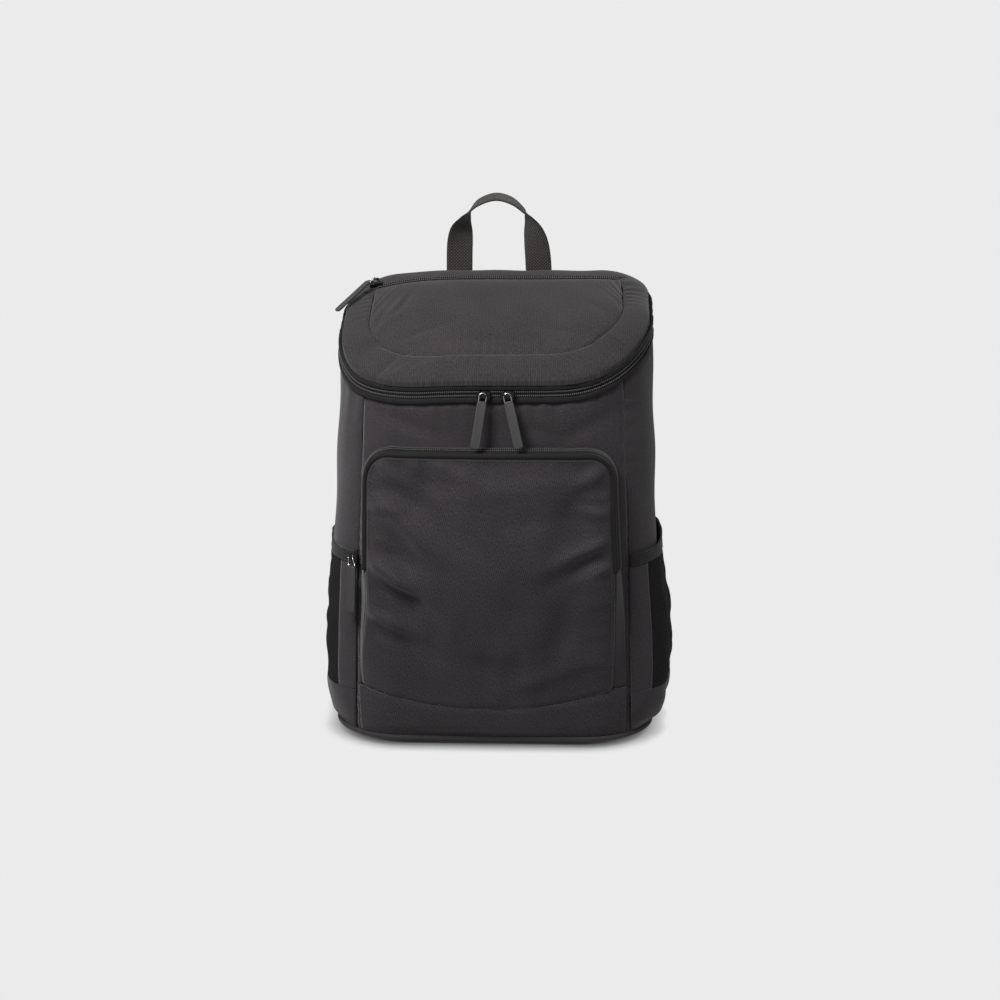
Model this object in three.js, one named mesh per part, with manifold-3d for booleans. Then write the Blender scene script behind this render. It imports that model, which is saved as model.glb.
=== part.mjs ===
// Insulated backpack with a slanting zipped lid, in millimetres.
// The front faces -Y, +Z is up, and the origin is the middle of the base, which the bag stands on.
import * as THREE from "three";
import { mergeVertices } from "three/addons/utils/BufferGeometryUtils.js";
import Module from "manifold-3d";

const wasm = await Module();
wasm.setup();

// Body: the insulated box
const bodyWidth = 298;
const bodyDepth = 175;
const bodyHeight = 406;
const frontBulge = 5;
const sideBulge = 2;
const wall = 5;
const baseThickness = 6;
const seamGap = 0.3;
const seamHalfTop = 117;
const seamHalfBase = 126;

// Rim: the slanting line of the main zip, lower at the front
const rimFront = 331;
const rimBack = 397;
const zipHalfWidth = 8;
const tapeThickness = 1.2;
const coilWidth = 5;
const coilHeight = 1.8;
const bindingWidth = 4;
const bindingThickness = 1.3;

// Lid
const lidEdge = 5;
const lidShoulder = 6;
const lidCrown = 6;
const lidOverhang = 2.5;
const lidCloth = 2.2;
const lidFoam = 4;
const lidFoamGap = 1;
const lidPocketFront = 25;
const lidPocketSide = 25;
const lidPocketLift = 4.5;
const lidStripDepth = 20;
const lidZipWidth = 8;
const lidZipHem = 2.5;

// Front pocket
const cloth = 1.4;
const pocketTop = 282.5;
const pocketInset = 3;
const pocketCorner = 30;
const pocketDepth = 21;
const pocketSplay = 7.5;
const pocketBelly = 12;
const pocketZipEnd = 172;
const pocketGussetEnd = 57;
const pocketDip = 17;
const pocketLean = 5;
const pocketCoilAt = 0.36;

// Side pockets
const sidePocketTop = 180;
const leftPocketFull = 7;
const rightPocketFull = 14;
const sideMeshBottom = 50;
const sideElasticWidth = 11;
const sideElasticThickness = 1.9;
const meshThickness = 1;

// Zip sliders and pulls
const sliderWidth = 8.5;
const sliderLength = 12;
const sliderHeight = 3;
const bailHeight = 3.8;
const bailThickness = 1.1;
const bailWidth = 2.8;
const bailLength = 8;
const wireRadius = 0.65;
const ringWidth = 6.2;
const ringLength = 4.5;
const longRingLength = 10.5;
const tabWidth = 8.4;
const tabLength = 43;
const tabThickness = 2.2;
const tabCorner = 2;

// Base piping, grab handle and shoulder straps
const pipingRadius = 2.2;
const webbingWidth = 24.5;
const webbingThickness = 1.8;
const handleSpan = 75;
const handleFoot = 379;
const handleTop = 481;
const strapTop = 373;
const strapBottom = 140;
const strapThickness = 10;
const strapReach = 27;
const strapWidth = 62;
const lockHeight = 30;
const lockWidth = 34;
const lockThickness = 4;
const lockBar = 4;
const anchorTop = 64;
const anchorBottom = 26;
const anchorWidth = 42;

// Sections of the body from the base up, as shares of bodyHeight, bodyWidth and bodyDepth.
const bodySections = [
  { height: 0, width: 0.92, depth: 0.95, back: 0.475, corner: 0.2 },
  { height: 0.018, width: 0.952, depth: 0.98, back: 0.49, corner: 0.2 },
  { height: 0.05, width: 0.985, depth: 1, back: 0.5, corner: 0.2 },
  { height: 0.09, width: 1, depth: 1, back: 0.5, corner: 0.2 },
  { height: 0.25, width: 1, depth: 1, back: 0.5, corner: 0.21 },
  { height: 0.5, width: 0.985, depth: 0.984, back: 0.5, corner: 0.24 },
  { height: 0.65, width: 0.975, depth: 0.972, back: 0.5, corner: 0.265 },
  { height: 0.82, width: 0.966, depth: 0.964, back: 0.5, corner: 0.285 },
  { height: 1, width: 0.95, depth: 0.964, back: 0.5, corner: 0.285 },
];
const backCorner = 0.14;

// Where the soft rim lifts or sinks: place across and from front to back and its reach, as shares of
// half bodyWidth, and the lift as a share of the rim's rise.
const rimBends = [
  { across: 0.95, up: 0.42, turn: 0, length: 0.42, width: 0.42, depth: 0.2 },
  { across: -0.88, up: 0.22, turn: 0, length: 0.4, width: 0.34, depth: -0.15 },
  { across: -0.98, up: 0.98, turn: 0, length: 0.4, width: 0.32, depth: -0.15 },
];

// Sections of the front pocket, as shares of pocketTop, pocketDepth and pocketBelly.
const pocketSections = [
  { up: 0, edge: 0.08, belly: 0 },
  { up: 0.04, edge: 0.08, belly: 0.06 },
  { up: 0.08, edge: 0.12, belly: 0.55 },
  { up: 0.18, edge: 0.16, belly: 0.9 },
  { up: 0.4, edge: 0.6, belly: 1 },
  { up: 0.62, edge: 1, belly: 1 },
  { up: 0.85, edge: 1, belly: 0.5 },
  { up: 0.97, edge: 1, belly: 0 },
];

// Folds of the front pocket. Place, length and width are shares of its half width,
// depth of pocketDepth, and a negative depth is a dent.
const pocketFolds = [
  { across: -0.62, up: 2.02, turn: -38, length: 0.42, width: 0.1, depth: -0.12 },
  { across: -0.66, up: 1.62, turn: -32, length: 0.36, width: 0.13, depth: -0.2 },
  { across: -0.58, up: 1.25, turn: -34, length: 0.4, width: 0.09, depth: 0.16 },
  { across: -0.42, up: 0.95, turn: -36, length: 0.5, width: 0.1, depth: -0.16 },
  { across: 0.66, up: 1.75, turn: 12, length: 0.26, width: 0.16, depth: -0.18 },
  { across: 0.55, up: 0.9, turn: 30, length: 0.4, width: 0.12, depth: -0.1 },
];

// Dents of the lid, as shares of half its width, and their depth as a share of lidCrown.
const lidDents = [
  { across: -0.62, up: -0.5, turn: 12, length: 0.16, width: 0.07, depth: -0.3 },
  { across: 0.66, up: -0.48, turn: -25, length: 0.14, width: 0.07, depth: -0.3 },
  { across: 0.05, up: -0.36, turn: 0, length: 0.5, width: 0.06, depth: -0.2 },
];

// Fullness of a side pocket up its height, as a share of its full depth.
const sidePocketSections = [
  { up: 0.06, out: 0.06 },
  { up: 0.11, out: 0.66 },
  { up: 0.23, out: 0.88 },
  { up: 0.4, out: 1 },
  { up: 0.6, out: 0.82 },
  { up: 0.81, out: 0.42 },
  { up: 1, out: 0.24 },
];

// The grab handle from foot to foot: across as a share of half handleSpan, up as a share of the rise
// from handleFoot to handleTop, and the turn of its width from across to backwards and on.
const handleSections = [
  { across: -1, up: 0, turn: 0 },
  { across: -1, up: 0.34, turn: 0 },
  { across: -0.99, up: 0.55, turn: 8 },
  { across: -0.95, up: 0.69, turn: 30 },
  { across: -0.86, up: 0.79, turn: 60 },
  { across: -0.74, up: 0.865, turn: 80 },
  { across: -0.5, up: 0.95, turn: 88 },
  { across: -0.1, up: 1, turn: 90 },
  { across: 0.3, up: 0.965, turn: 92 },
  { across: 0.62, up: 0.87, turn: 98 },
  { across: 0.76, up: 0.79, turn: 118 },
  { across: 0.86, up: 0.69, turn: 142 },
  { across: 0.94, up: 0.55, turn: 164 },
  { across: 0.99, up: 0.34, turn: 180 },
  { across: 1, up: 0, turn: 180 },
];

// A shoulder strap down its drop: gap behind it as a share of strapReach, its middle as a share
// of half bodyWidth, and its width as a share of strapWidth.
const strapSections = [
  { drop: 0, gap: 0.03, middle: 0.36, width: 0.74 },
  { drop: 0.1, gap: 0.42, middle: 0.37, width: 0.9 },
  { drop: 0.28, gap: 0.84, middle: 0.39, width: 1 },
  { drop: 0.5, gap: 1, middle: 0.43, width: 1 },
  { drop: 0.72, gap: 0.82, middle: 0.49, width: 0.92 },
  { drop: 0.9, gap: 0.5, middle: 0.55, width: 0.74 },
  { drop: 1, gap: 0.36, middle: 0.58, width: 0.56 },
];

// Places along the plan outline: 0 is the middle of the front, 1 to 2 its corner, 2 to 3 the side,
// 3 to 4 the back corner and 5 the middle of the back. The left half is negative.
const planEnd = 5;
const backSeam = 3.72;
const bandEnd = 3.4;
const zipTuck = 0.15;
const seamShare = 0.006;
const sidePocketStart = 0.04;
const sidePocketEnd = 3.5;
const sideStripShare = 0.1;
const planStops = [0, 0.5, 1, 1.14, 1.28, 1.42, 1.56, 1.7, 1.85, 2, 2.5, 3, 3.2, 3.4, 3.6, 3.8, 4, 4.5, 5];
const wallHeights = [0, 0.02, 0.045, 0.18, 0.34, 0.5, 0.66, 0.83, 1];
const pocketStops = [0, 0.3, 0.55, 0.7, 0.8, 0.9, 1, 1.2, 1.4, 1.6, 1.8, 2, 2.2, 2.4, 2.6, 2.8, 3];

const fabric = new THREE.MeshStandardMaterial({ color: 0x39363a, roughness: 0.85, metalness: 0 });
const lidFabric = new THREE.MeshStandardMaterial({ color: 0x414043, roughness: 0.85, metalness: 0 });
const meshFabric = new THREE.MeshStandardMaterial({ color: 0x242324, roughness: 0.9, metalness: 0 });
const tapeFabric = new THREE.MeshStandardMaterial({ color: 0x232223, roughness: 0.8, metalness: 0 });
const coilNylon = new THREE.MeshStandardMaterial({ color: 0x151515, roughness: 0.5, metalness: 0 });
const webbing = new THREE.MeshStandardMaterial({ color: 0x2d2a28, roughness: 0.9, metalness: 0 });
const foam = new THREE.MeshStandardMaterial({ color: 0x3a393b, roughness: 0.9, metalness: 0 });
const rubber = new THREE.MeshStandardMaterial({ color: 0x484847, roughness: 0.6, metalness: 0 });
const sliderMetal = new THREE.MeshStandardMaterial({ color: 0x1c1b1b, roughness: 0.35, metalness: 0.7 });
const wireMetal = new THREE.MeshStandardMaterial({ color: 0x76716c, roughness: 0.3, metalness: 0.9 });
const plastic = new THREE.MeshStandardMaterial({ color: 0x1d1d1d, roughness: 0.5, metalness: 0 });

const root = new THREE.Group();
const { lerp, clamp, smoothstep, degToRad } = THREE.MathUtils;

// Small helpers

function addMesh(name, geometry, material) {
  const mesh = new THREE.Mesh(geometry, material);
  mesh.name = name;
  root.add(mesh);
}

// One column of a table at t, between the two rows on either side of it.
function sample(rows, key, column, t) {
  let i = 0;
  while (i < rows.length - 2 && t > rows[i + 1][key]) i += 1;
  const share = clamp((t - rows[i][key]) / (rows[i + 1][key] - rows[i][key]), 0, 1);
  return lerp(rows[i][column], rows[i + 1][column], share);
}

// The height of a table of folds at a place, both measured in the same unit.
function foldsAt(rows, across, up) {
  return rows.reduce((sum, row) => {
    const place = new THREE.Vector2(across - row.across, up - row.up);
    place.rotateAround(new THREE.Vector2(), -degToRad(row.turn));
    return sum + row.depth * Math.exp(-((place.x / row.length) ** 2) - (place.y / row.width) ** 2);
  }, 0);
}

// The stops of a list, mirrored about 0, that lie between two ends, with the ends.
function between(stops, from, to) {
  const all = [...stops.slice(1).map((q) => -q), ...stops, ...stops.map((q) => 2 * planEnd - q)];
  const inner = all.filter((q) => q > from + 0.02 && q < to - 0.02);
  return [from, ...[...new Set(inner)].sort((a, b) => a - b), to];
}

function even(from, to, steps) {
  return Array.from({ length: steps + 1 }, (_, i) => lerp(from, to, i / steps));
}

// Solids from rings of points

function meshOf(points, triangles) {
  const volume = triangles.reduce((sum, [a, b, c]) => {
    return sum + points[a].dot(new THREE.Vector3().crossVectors(points[b], points[c]));
  }, 0);
  const outward = volume < 0 ? triangles.map(([a, b, c]) => [a, c, b]) : triangles;
  const geometry = new THREE.BufferGeometry();
  const values = points.flatMap((p) => [p.x, p.y, p.z]);
  geometry.setAttribute("position", new THREE.Float32BufferAttribute(values, 3));
  geometry.setIndex(outward.flat());
  geometry.computeVertexNormals();
  return geometry;
}

// A skin over rings with equally many points, closed into a loop or by a fill at each end.
function loft(rings, fill) {
  const count = rings[0].length;
  const triangles = [];
  const spans = fill ? rings.length - 1 : rings.length;
  for (let i = 0; i < spans; i += 1) {
    const here = i * count;
    const next = ((i + 1) % rings.length) * count;
    for (let j = 0; j < count; j += 1) {
      const k = (j + 1) % count;
      triangles.push([here + j, here + k, next + k], [here + j, next + k, next + j]);
    }
  }
  const end = (rings.length - 1) * count;
  for (const [a, b, c] of fill ?? []) triangles.push([a, c, b], [end + a, end + b, end + c]);
  return meshOf(rings.flat(), triangles);
}

function fan(count) {
  return Array.from({ length: count - 2 }, (_, i) => [0, i + 1, i + 2]);
}

// A sheet over a grid: place(u, v, face) is on its outer face for face 1 and on its inner one for 0.
function sheet(us, vs, place) {
  const last = vs.length - 1;
  const fill = [];
  for (let j = 0; j < last; j += 1) {
    fill.push([j, j + 1, 2 * last - j], [j, 2 * last - j, 2 * last + 1 - j]);
  }
  const back = [...vs].reverse();
  return loft(us.map((u) => [...vs.map((v) => place(u, v, 1)), ...back.map((v) => place(u, v, 0))]), fill);
}

// A sheet inside a closed outline, in rings from its edge (r = 1) to its middle.
function disc(stops, ringCount, place) {
  const count = stops.length;
  const face = ringCount * count + 1;
  const points = [];
  for (const side of [1, 0]) {
    for (let k = 0; k < ringCount; k += 1) {
      points.push(...stops.map((q) => place(q, 1 - k / ringCount, side)));
    }
    points.push(place(0, 0, side));
  }
  const triangles = [];
  for (let i = 0; i < count; i += 1) {
    const j = (i + 1) % count;
    triangles.push([i, face + j, j], [i, face + i, face + j]);
    for (let k = 0; k < ringCount - 1; k += 1) {
      const [a, b] = [k * count + i, k * count + j];
      triangles.push([a, b, b + count], [a, b + count, a + count]);
      triangles.push([face + a, face + b + count, face + b], [face + a, face + a + count, face + b + count]);
    }
    const [a, b] = [(ringCount - 1) * count + i, (ringCount - 1) * count + j];
    triangles.push([a, b, face - 1], [face + b, face + a, 2 * face - 1]);
  }
  return meshOf(points, triangles);
}

function circle(radius, sides) {
  return even(0.5, sides - 0.5, sides - 1).map((i) => {
    const turn = (i / sides) * 2 * Math.PI;
    return new THREE.Vector2(radius * Math.cos(turn), radius * Math.sin(turn));
  });
}

function box(left, low, right, high) {
  return [[left, low], [right, low], [right, high], [left, high]].map(([x, y]) => new THREE.Vector2(x, y));
}

// A section carried along places, each a point with the two directions across it.
function sweep(places, section, closed) {
  const rings = places.map(({ at, side, out }) => {
    return section.map((p) => at.clone().addScaledVector(side, p.x).addScaledVector(out, p.y));
  });
  return loft(rings, closed ? null : fan(section.length));
}

// A round wire through points.
function wire(points, radius, steps, sides) {
  const curve = new THREE.CatmullRomCurve3(points, false, "centripetal");
  const frames = curve.computeFrenetFrames(steps, false);
  const places = even(0, 1, steps).map((t, i) => {
    return { at: curve.getPointAt(t), side: frames.normals[i], out: frames.binormals[i] };
  });
  return sweep(places, circle(radius, sides), false);
}

function webbingSection() {
  return box(-webbingWidth / 2, -webbingThickness / 2, webbingWidth / 2, webbingThickness / 2);
}

function toManifold(geometry) {
  const positions = geometry.clone();
  positions.deleteAttribute("normal");
  const merged = mergeVertices(positions, 1e-4);
  const mesh = new wasm.Mesh({
    numProp: 3,
    vertProperties: Float32Array.from(merged.attributes.position.array),
    triVerts: Uint32Array.from(merged.index.array),
  });
  return new wasm.Manifold(mesh);
}

function joined(geometries) {
  const solid = geometries.map(toManifold).reduce((a, b) => a.add(b));
  const { vertProperties, triVerts } = solid.getMesh();
  const geometry = new THREE.BufferGeometry();
  geometry.setAttribute("position", new THREE.Float32BufferAttribute(vertProperties, 3));
  geometry.setIndex(Array.from(triVerts));
  geometry.computeVertexNormals();
  return geometry;
}

// The body's surface

function sectionAt(z) {
  const share = (column) => sample(bodySections, "height", column, z / bodyHeight);
  const half = (bodyWidth / 2) * share("width");
  const back = bodyDepth * share("back");
  return { half, back, front: back - bodyDepth * share("depth"), radius: bodyWidth * share("corner") };
}

// How far the wall bulges out on the front and on the sides.
function bulge(a, z) {
  const rise = Math.sin(Math.PI * clamp(z / rimFront, 0, 1));
  const front = Math.cos((Math.PI / 2) * Math.min(a / 2, 1)) ** 2;
  const side = a > 1 && a < backSeam ? Math.sin((Math.PI * (a - 1)) / (backSeam - 1)) ** 2 : 0;
  return rise * (frontBulge * front + sideBulge * side);
}

function outwards(a) {
  const front = (clamp(a - 1, 0, 1) * Math.PI) / 2;
  const back = (clamp(a - 3, 0, 1) * Math.PI) / 2;
  return new THREE.Vector2(Math.sin(front) * Math.cos(back), Math.sin(back) - Math.cos(front));
}

// The point at place q of the outline and height z, off the wall's outer face.
function plan(q, z, off) {
  const place = q > planEnd ? q - 2 * planEnd : q;
  const a = Math.abs(place);
  const { half, back, front, radius } = sectionAt(z);
  const backRadius = bodyWidth * backCorner;
  const normal = outwards(a);
  const reach = off + bulge(a, z);
  let x = (half - radius) * Math.min(a, 1) + radius * normal.x;
  let y = front + radius * (1 + normal.y);
  if (a > 2) {
    x = half - backRadius * (1 - normal.x);
    y = lerp(front + radius, back - backRadius, Math.min(a - 2, 1)) + backRadius * normal.y;
  }
  if (a > 4) x = (half - backRadius) * (planEnd - a);
  const side = place < 0 ? -1 : 1;
  return new THREE.Vector3(side * (x + reach * normal.x), y + reach * normal.y, z);
}

// The place on the outline at x, on the front or its corner.
function placeAt(x, z) {
  const { half, radius } = sectionAt(z);
  const a = Math.abs(x);
  const straight = half - radius;
  const turn = Math.asin(clamp((a - straight) / radius, 0, 1));
  return Math.sign(x) * (a < straight ? a / straight : 1 + turn / (Math.PI / 2));
}

const onFront = (x, z, off) => plan(placeAt(x, z), z, off);

// The seam between the front and the side, which ends under the zip.
const seamHalf = (z) => lerp(seamHalfBase, seamHalfTop, z / rimFront);

function seamAt(z) {
  const level = Math.min(z, rimFront - zipHalfWidth);
  return placeAt(seamHalf(level), level);
}

// The rim's height at a place: it rises from front to back, and bends a little.
const rimSection = sectionAt(rimFront);

function rimAt(x, y) {
  const half = bodyWidth / 2;
  const share = (y - rimSection.front) / (rimSection.back - rimSection.front);
  const bend = foldsAt(rimBends, x / half, (y - rimSection.front) / half);
  return lerp(rimFront, rimBack, share) + (rimBack - rimFront) * bend;
}

function onRim(q, above, off) {
  const place = plan(q, rimFront, off);
  return plan(q, rimAt(place.x, place.y) + above, off);
}

// Walls, base and piping

function wallPanel(ends, above) {
  const [from, to] = ends(rimFront);
  const us = between(planStops, from, to).map((q) => (q - from) / (to - from));
  return sheet(us, wallHeights, (u, v, face) => {
    const off = face ? 0 : -wall;
    const top = onRim(lerp(from, to, u), above, off).z;
    const z = lerp(baseThickness + seamGap, top, v);
    const [low, high] = ends(z);
    return plan(lerp(low, high, u), z, off);
  });
}

function addBody() {
  const underZip = -zipHalfWidth - seamGap;
  const frontEnds = (z) => [-seamAt(z), seamAt(z)];
  addMesh("front_panel", wallPanel(frontEnds, underZip), fabric);
  for (const [name, side] of [["left", -1], ["right", 1]]) {
    const ends = (z) => [side * (seamAt(z) + seamShare), side * (backSeam - seamShare)];
    addMesh(`side_panel_${name}`, wallPanel(ends, underZip), fabric);
  }
  const backEnds = () => [backSeam, 2 * planEnd - backSeam];
  addMesh("back_panel", wallPanel(backEnds, zipHalfWidth), fabric);
  const stops = between(planStops, -planEnd, planEnd).slice(1);
  const base = disc(stops, 1, (q, r, face) => {
    return plan(q, face ? baseThickness : 0, 0).multiply(new THREE.Vector3(r, r, 1));
  });
  addMesh("base_panel", base, fabric);
  const middle = baseThickness + pipingRadius;
  const places = stops.map((q) => {
    const side = plan(q, middle, 1).sub(plan(q, middle, 0));
    const at = plan(q, middle + pipingRadius, pipingRadius + seamGap).setZ(middle);
    return { at, side, out: new THREE.Vector3(0, 0, 1) };
  });
  addMesh("base_piping", sweep(places, circle(pipingRadius, 6), true), tapeFabric);
}

// A strip along the rim, between two heights over its middle line and between two offsets.
function rimStrip(low, high, inner, outer) {
  const end = backSeam - seamShare;
  const place = (q, v, face) => onRim(q, lerp(low, high, v), face ? outer : inner);
  return sheet(between(planStops, -end, end), [0, 1], place);
}

function addMainZip() {
  addMesh("main_zip_tape", rimStrip(-zipHalfWidth, zipHalfWidth, -tapeThickness, 0), tapeFabric);
  addMesh("main_zip_coil", rimStrip(-coilWidth / 2, coilWidth / 2, seamGap, seamGap + coilHeight), coilNylon);
  const far = zipHalfWidth - seamGap;
  const near = far - bindingWidth;
  const outer = seamGap + bindingThickness;
  addMesh("main_zip_binding_lower", rimStrip(-far, -near, seamGap, outer), tapeFabric);
  addMesh("main_zip_binding_upper", rimStrip(near, far, seamGap, outer), tapeFabric);
}

// The lid's surface: place q round it, r from its middle to its edge, and h over its cloth.

const lidMiddle = (rimSection.front + rimSection.back) / 2;

function onLid(q, r, h) {
  const overhang = lidOverhang * (1 - smoothstep(Math.min(Math.abs(q), 2 * planEnd - Math.abs(q)), 2.6, 3.6));
  const edge = onRim(q, zipHalfWidth, overhang);
  const x = edge.x * r;
  const y = lerp(lidMiddle, edge.y, r);
  const half = bodyWidth / 2;
  const dents = foldsAt(lidDents, x / half, (y - lidMiddle) / half) * (1 - r ** 12);
  const crown = lidCrown * (1 - r ** 2.4 + dents) + lidShoulder * (1 - r ** 14);
  return new THREE.Vector3(x, y, rimAt(x, y) + zipHalfWidth + seamGap + lidEdge + crown + h);
}

function insetShare(q, inset) {
  const edge = onLid(q, 1, 0);
  return 1 - inset / Math.hypot(edge.x, edge.y - lidMiddle);
}

const lidZipBack = onLid(planEnd, 1, 0).y - lidStripDepth;
const lidZipFront = lidZipBack - lidZipWidth;

// The share r at which the lid's surface reaches depth y, and no more than a limit.
function depthShare(q, y, limit) {
  const slope = onLid(q, 1, 0).y - lidMiddle;
  return slope > 1 ? Math.min(limit, (y - lidMiddle) / slope) : limit;
}

function pocketSeamShare(q) {
  const front = 1 - lidPocketFront / (lidMiddle - rimSection.front);
  return lerp(front, 1 - lidPocketSide / rimSection.half, smoothstep(Math.abs(q), 0.85, 2));
}

// Cloth from an inner share to the lid's edge, and down round the edge.
function lidSheet(stops, innerAt) {
  return sheet(stops, [0, 1, 2, 3, 4], (q, v, face) => {
    const inner = innerAt(q);
    const outer = face ? 1 : insetShare(q, lidCloth);
    const shares = [inner, lerp(inner, outer, 0.4), lerp(inner, outer, 0.75), outer, outer];
    const down = v === 4 ? -lidEdge : 0;
    return onLid(q, shares[v], face ? down : Math.min(down, -lidCloth));
  });
}

function addLid() {
  const around = between(planStops, -planEnd, planEnd).slice(1);
  const foamTop = -lidCloth - tapeThickness - 2 * seamGap - lidFoamGap;
  const pad = disc(around, 4, (q, r, face) => {
    return onLid(q, r * insetShare(q, wall + 2 * lidFoamGap), face ? foamTop : foamTop - lidFoam);
  });
  addMesh("lid_pad", pad, foam);
  addMesh("lid_band", lidSheet(between(planStops, -bandEnd, bandEnd), pocketSeamShare), lidFabric);

  const backStops = between(planStops, bandEnd + seamShare, 2 * planEnd - bandEnd - seamShare);
  const stripShare = (q) => depthShare(q, lidZipBack, insetShare(q, 2 * lidCloth));
  addMesh("lid_back_strip", lidSheet(backStops, stripShare), lidFabric);

  const top = disc(around, 4, (q, r, face) => {
    const share = depthShare(q, lidZipFront, pocketSeamShare(q)) - seamShare;
    return onLid(q, r * share, lidPocketLift * (1 - r ** 4) - (face ? 0 : cloth));
  });
  addMesh("lid_pocket_panel", top, lidFabric);
  addLidZip();
}

function addLidZip() {
  const strip = (end, front, back, low, high) => {
    return sheet(between(planStops, end, 2 * planEnd - end), [0, 0.5, 1], (q, v, face) => {
      const limit = insetShare(q, lidCloth + 2 * seamGap) - seamShare * (1 - v);
      return onLid(q, depthShare(q, lerp(front, back, v), limit), face ? high : low);
    });
  };
  const top = -lidCloth - 2 * seamGap;
  const hems = [lidZipFront - lidZipHem, lidZipBack + lidZipHem];
  addMesh("lid_zip_tape", strip(bandEnd - zipTuck, ...hems, top - tapeThickness, top), tapeFabric);
  const middle = (lidZipFront + lidZipBack) / 2;
  const low = top + 2 * seamGap;
  const half = coilWidth / 2;
  const coil = strip(bandEnd + seamShare, middle - half, middle + half, low, low + coilHeight);
  addMesh("lid_zip_coil", coil, coilNylon);
}

// The front pocket: an outline on the front, mirrored about s = 0 at the middle of its top.
// 1 to 2 is its corner, 2 to 3 its side down to the end of the gusset.

const pocketShoulder = pocketTop - pocketCorner;

function pocketHalf(z, side) {
  const lean = side > 0 ? pocketLean * smoothstep(z, pocketGussetEnd, pocketShoulder) : 0;
  return seamHalf(z) - pocketInset - lean;
}

function pocketEdge(s, inset) {
  const a = Math.abs(s);
  const side = s < 0 ? -1 : 1;
  const straight = pocketHalf(pocketShoulder, side) - pocketCorner;
  const turn = (clamp(a - 1, 0, 1) * Math.PI) / 2;
  const radius = pocketCorner - inset;
  const x = straight * Math.min(a, 1) + radius * Math.sin(turn);
  const point = new THREE.Vector2(x, pocketShoulder + radius * Math.cos(turn));
  if (a > 2) {
    point.y = lerp(pocketShoulder, pocketGussetEnd, a - 2);
    point.x = pocketHalf(point.y, side) - inset;
  }
  point.x *= side;
  return point;
}

function pocketEdgeDepth(z) {
  return pocketDepth * sample(pocketSections, "up", "edge", z / pocketTop);
}

// The depth of the pocket's face at u (-1 to 1 across it) and height z.
function pocketFaceDepth(u, z) {
  const belly = sample(pocketSections, "up", "belly", z / pocketTop) * (1 - Math.abs(u) ** 2.2);
  const folds = foldsAt(pocketFolds, u, z / pocketHalf(z, -1)) * Math.min(1, 3 * belly);
  return pocketEdgeDepth(z) + pocketBelly * belly + pocketDepth * folds;
}

function onGusset(s, v, h) {
  const edge = pocketEdge(s, pocketSplay * v - h);
  const depth = lerp(seamGap, pocketEdgeDepth(edge.y) - cloth - 2 * seamGap, v);
  return onFront(edge.x, edge.y, depth);
}

function addFrontPocket() {
  const zipEnd = 2 + (pocketShoulder - pocketZipEnd) / (pocketShoulder - pocketGussetEnd);
  const gusset = (from, to, rows) => {
    return sheet(between(pocketStops, from, to), rows, (s, v, face) => onGusset(s, v, face ? 0 : -cloth));
  };
  addMesh("front_pocket_zip_tape", gusset(-zipEnd, zipEnd, [0, 1]), tapeFabric);
  addMesh("front_pocket_gusset_left", gusset(-3, -zipEnd - seamShare, [0, 0.5, 1]), fabric);
  addMesh("front_pocket_gusset_right", gusset(zipEnd + seamShare, 3, [0, 0.5, 1]), fabric);
  const coilShare = coilWidth / 2 / pocketDepth;
  const coilAt = (s, v, face) => {
    return onGusset(s, pocketCoilAt + lerp(-coilShare, coilShare, v), seamGap + face * coilHeight);
  };
  addMesh("front_pocket_coil", sheet(between(pocketStops, -zipEnd, zipEnd), [0, 1], coilAt), coilNylon);

  const seamDip = (u, s) => pocketDip * (1 - u * u) * smoothstep(s, 2.2, 3);
  const rows = between(pocketStops, 1, 3).reverse();
  const face = sheet(even(-1, 1, 20), rows, (u, s, outer) => {
    const edge = pocketEdge(u < 0 ? -s : s, pocketSplay);
    const z = edge.y - seamDip(u, s);
    return onFront(Math.abs(u) * edge.x, z, pocketFaceDepth(u, z) - (outer ? 0 : cloth));
  });
  addMesh("front_pocket_panel", face, fabric);

  const half = pocketEdge(3, pocketSplay).x;
  const band = sheet(even(-1, 1, 20), [0, 0.2, 0.5, 1], (u, v, outer) => {
    const z = lerp(footLine, pocketGussetEnd - seamDip(u, 3) - seamGap, v);
    return onFront(u * half, z, pocketFaceDepth(u, z) + seamGap - (outer ? 0 : cloth));
  });
  addMesh("front_pocket_lower_band", band, fabric);
}

// The lowest height at which cloth can pass over the piping.
const footLine = baseThickness + 2 * pipingRadius + seamGap;

// Side pockets

function onSidePocket(side, u, z, thickness) {
  const depth = side < 0 ? leftPocketFull : rightPocketFull;
  const q = lerp(seamAt(z) + sidePocketStart, sidePocketEnd, u);
  const across = Math.sin(Math.PI * clamp(u, 0.004, 0.996)) ** 0.55;
  const full = depth * sample(sidePocketSections, "up", "out", z / sidePocketTop);
  return plan(side * q, z, seamGap + full * across + thickness);
}

function addSidePocket(name, side) {
  const stops = [0, 0.03, 0.1, 0.18, 0.26, 0.34, 0.44, 0.56, 0.68, 0.8, 0.9, 0.97, 1];
  const stripStops = stops.filter((u) => u <= sideStripShare);
  const meshStops = [sideStripShare + seamShare, ...stops.filter((u) => u > sideStripShare)];
  const part = (us, heights, thickness) => {
    return sheet(us, heights, (u, z, face) => onSidePocket(side, u, z, face * thickness));
  };
  const elasticBottom = sidePocketTop - sideElasticWidth;
  const upper = even(sideMeshBottom, elasticBottom - seamGap, 5);
  const lower = even(footLine, sideMeshBottom - seamGap, 3);
  addMesh(`side_pocket_strip_${name}`, part(stripStops, upper, cloth), fabric);
  addMesh(`side_pocket_mesh_${name}`, part(meshStops, upper, meshThickness), meshFabric);
  addMesh(`side_pocket_base_${name}`, part(stops, lower, cloth), fabric);
  const elastic = part(stops, [elasticBottom, sidePocketTop], sideElasticThickness);
  addMesh(`side_pocket_elastic_${name}`, elastic, tapeFabric);
}

// Zip sliders and pulls

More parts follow.
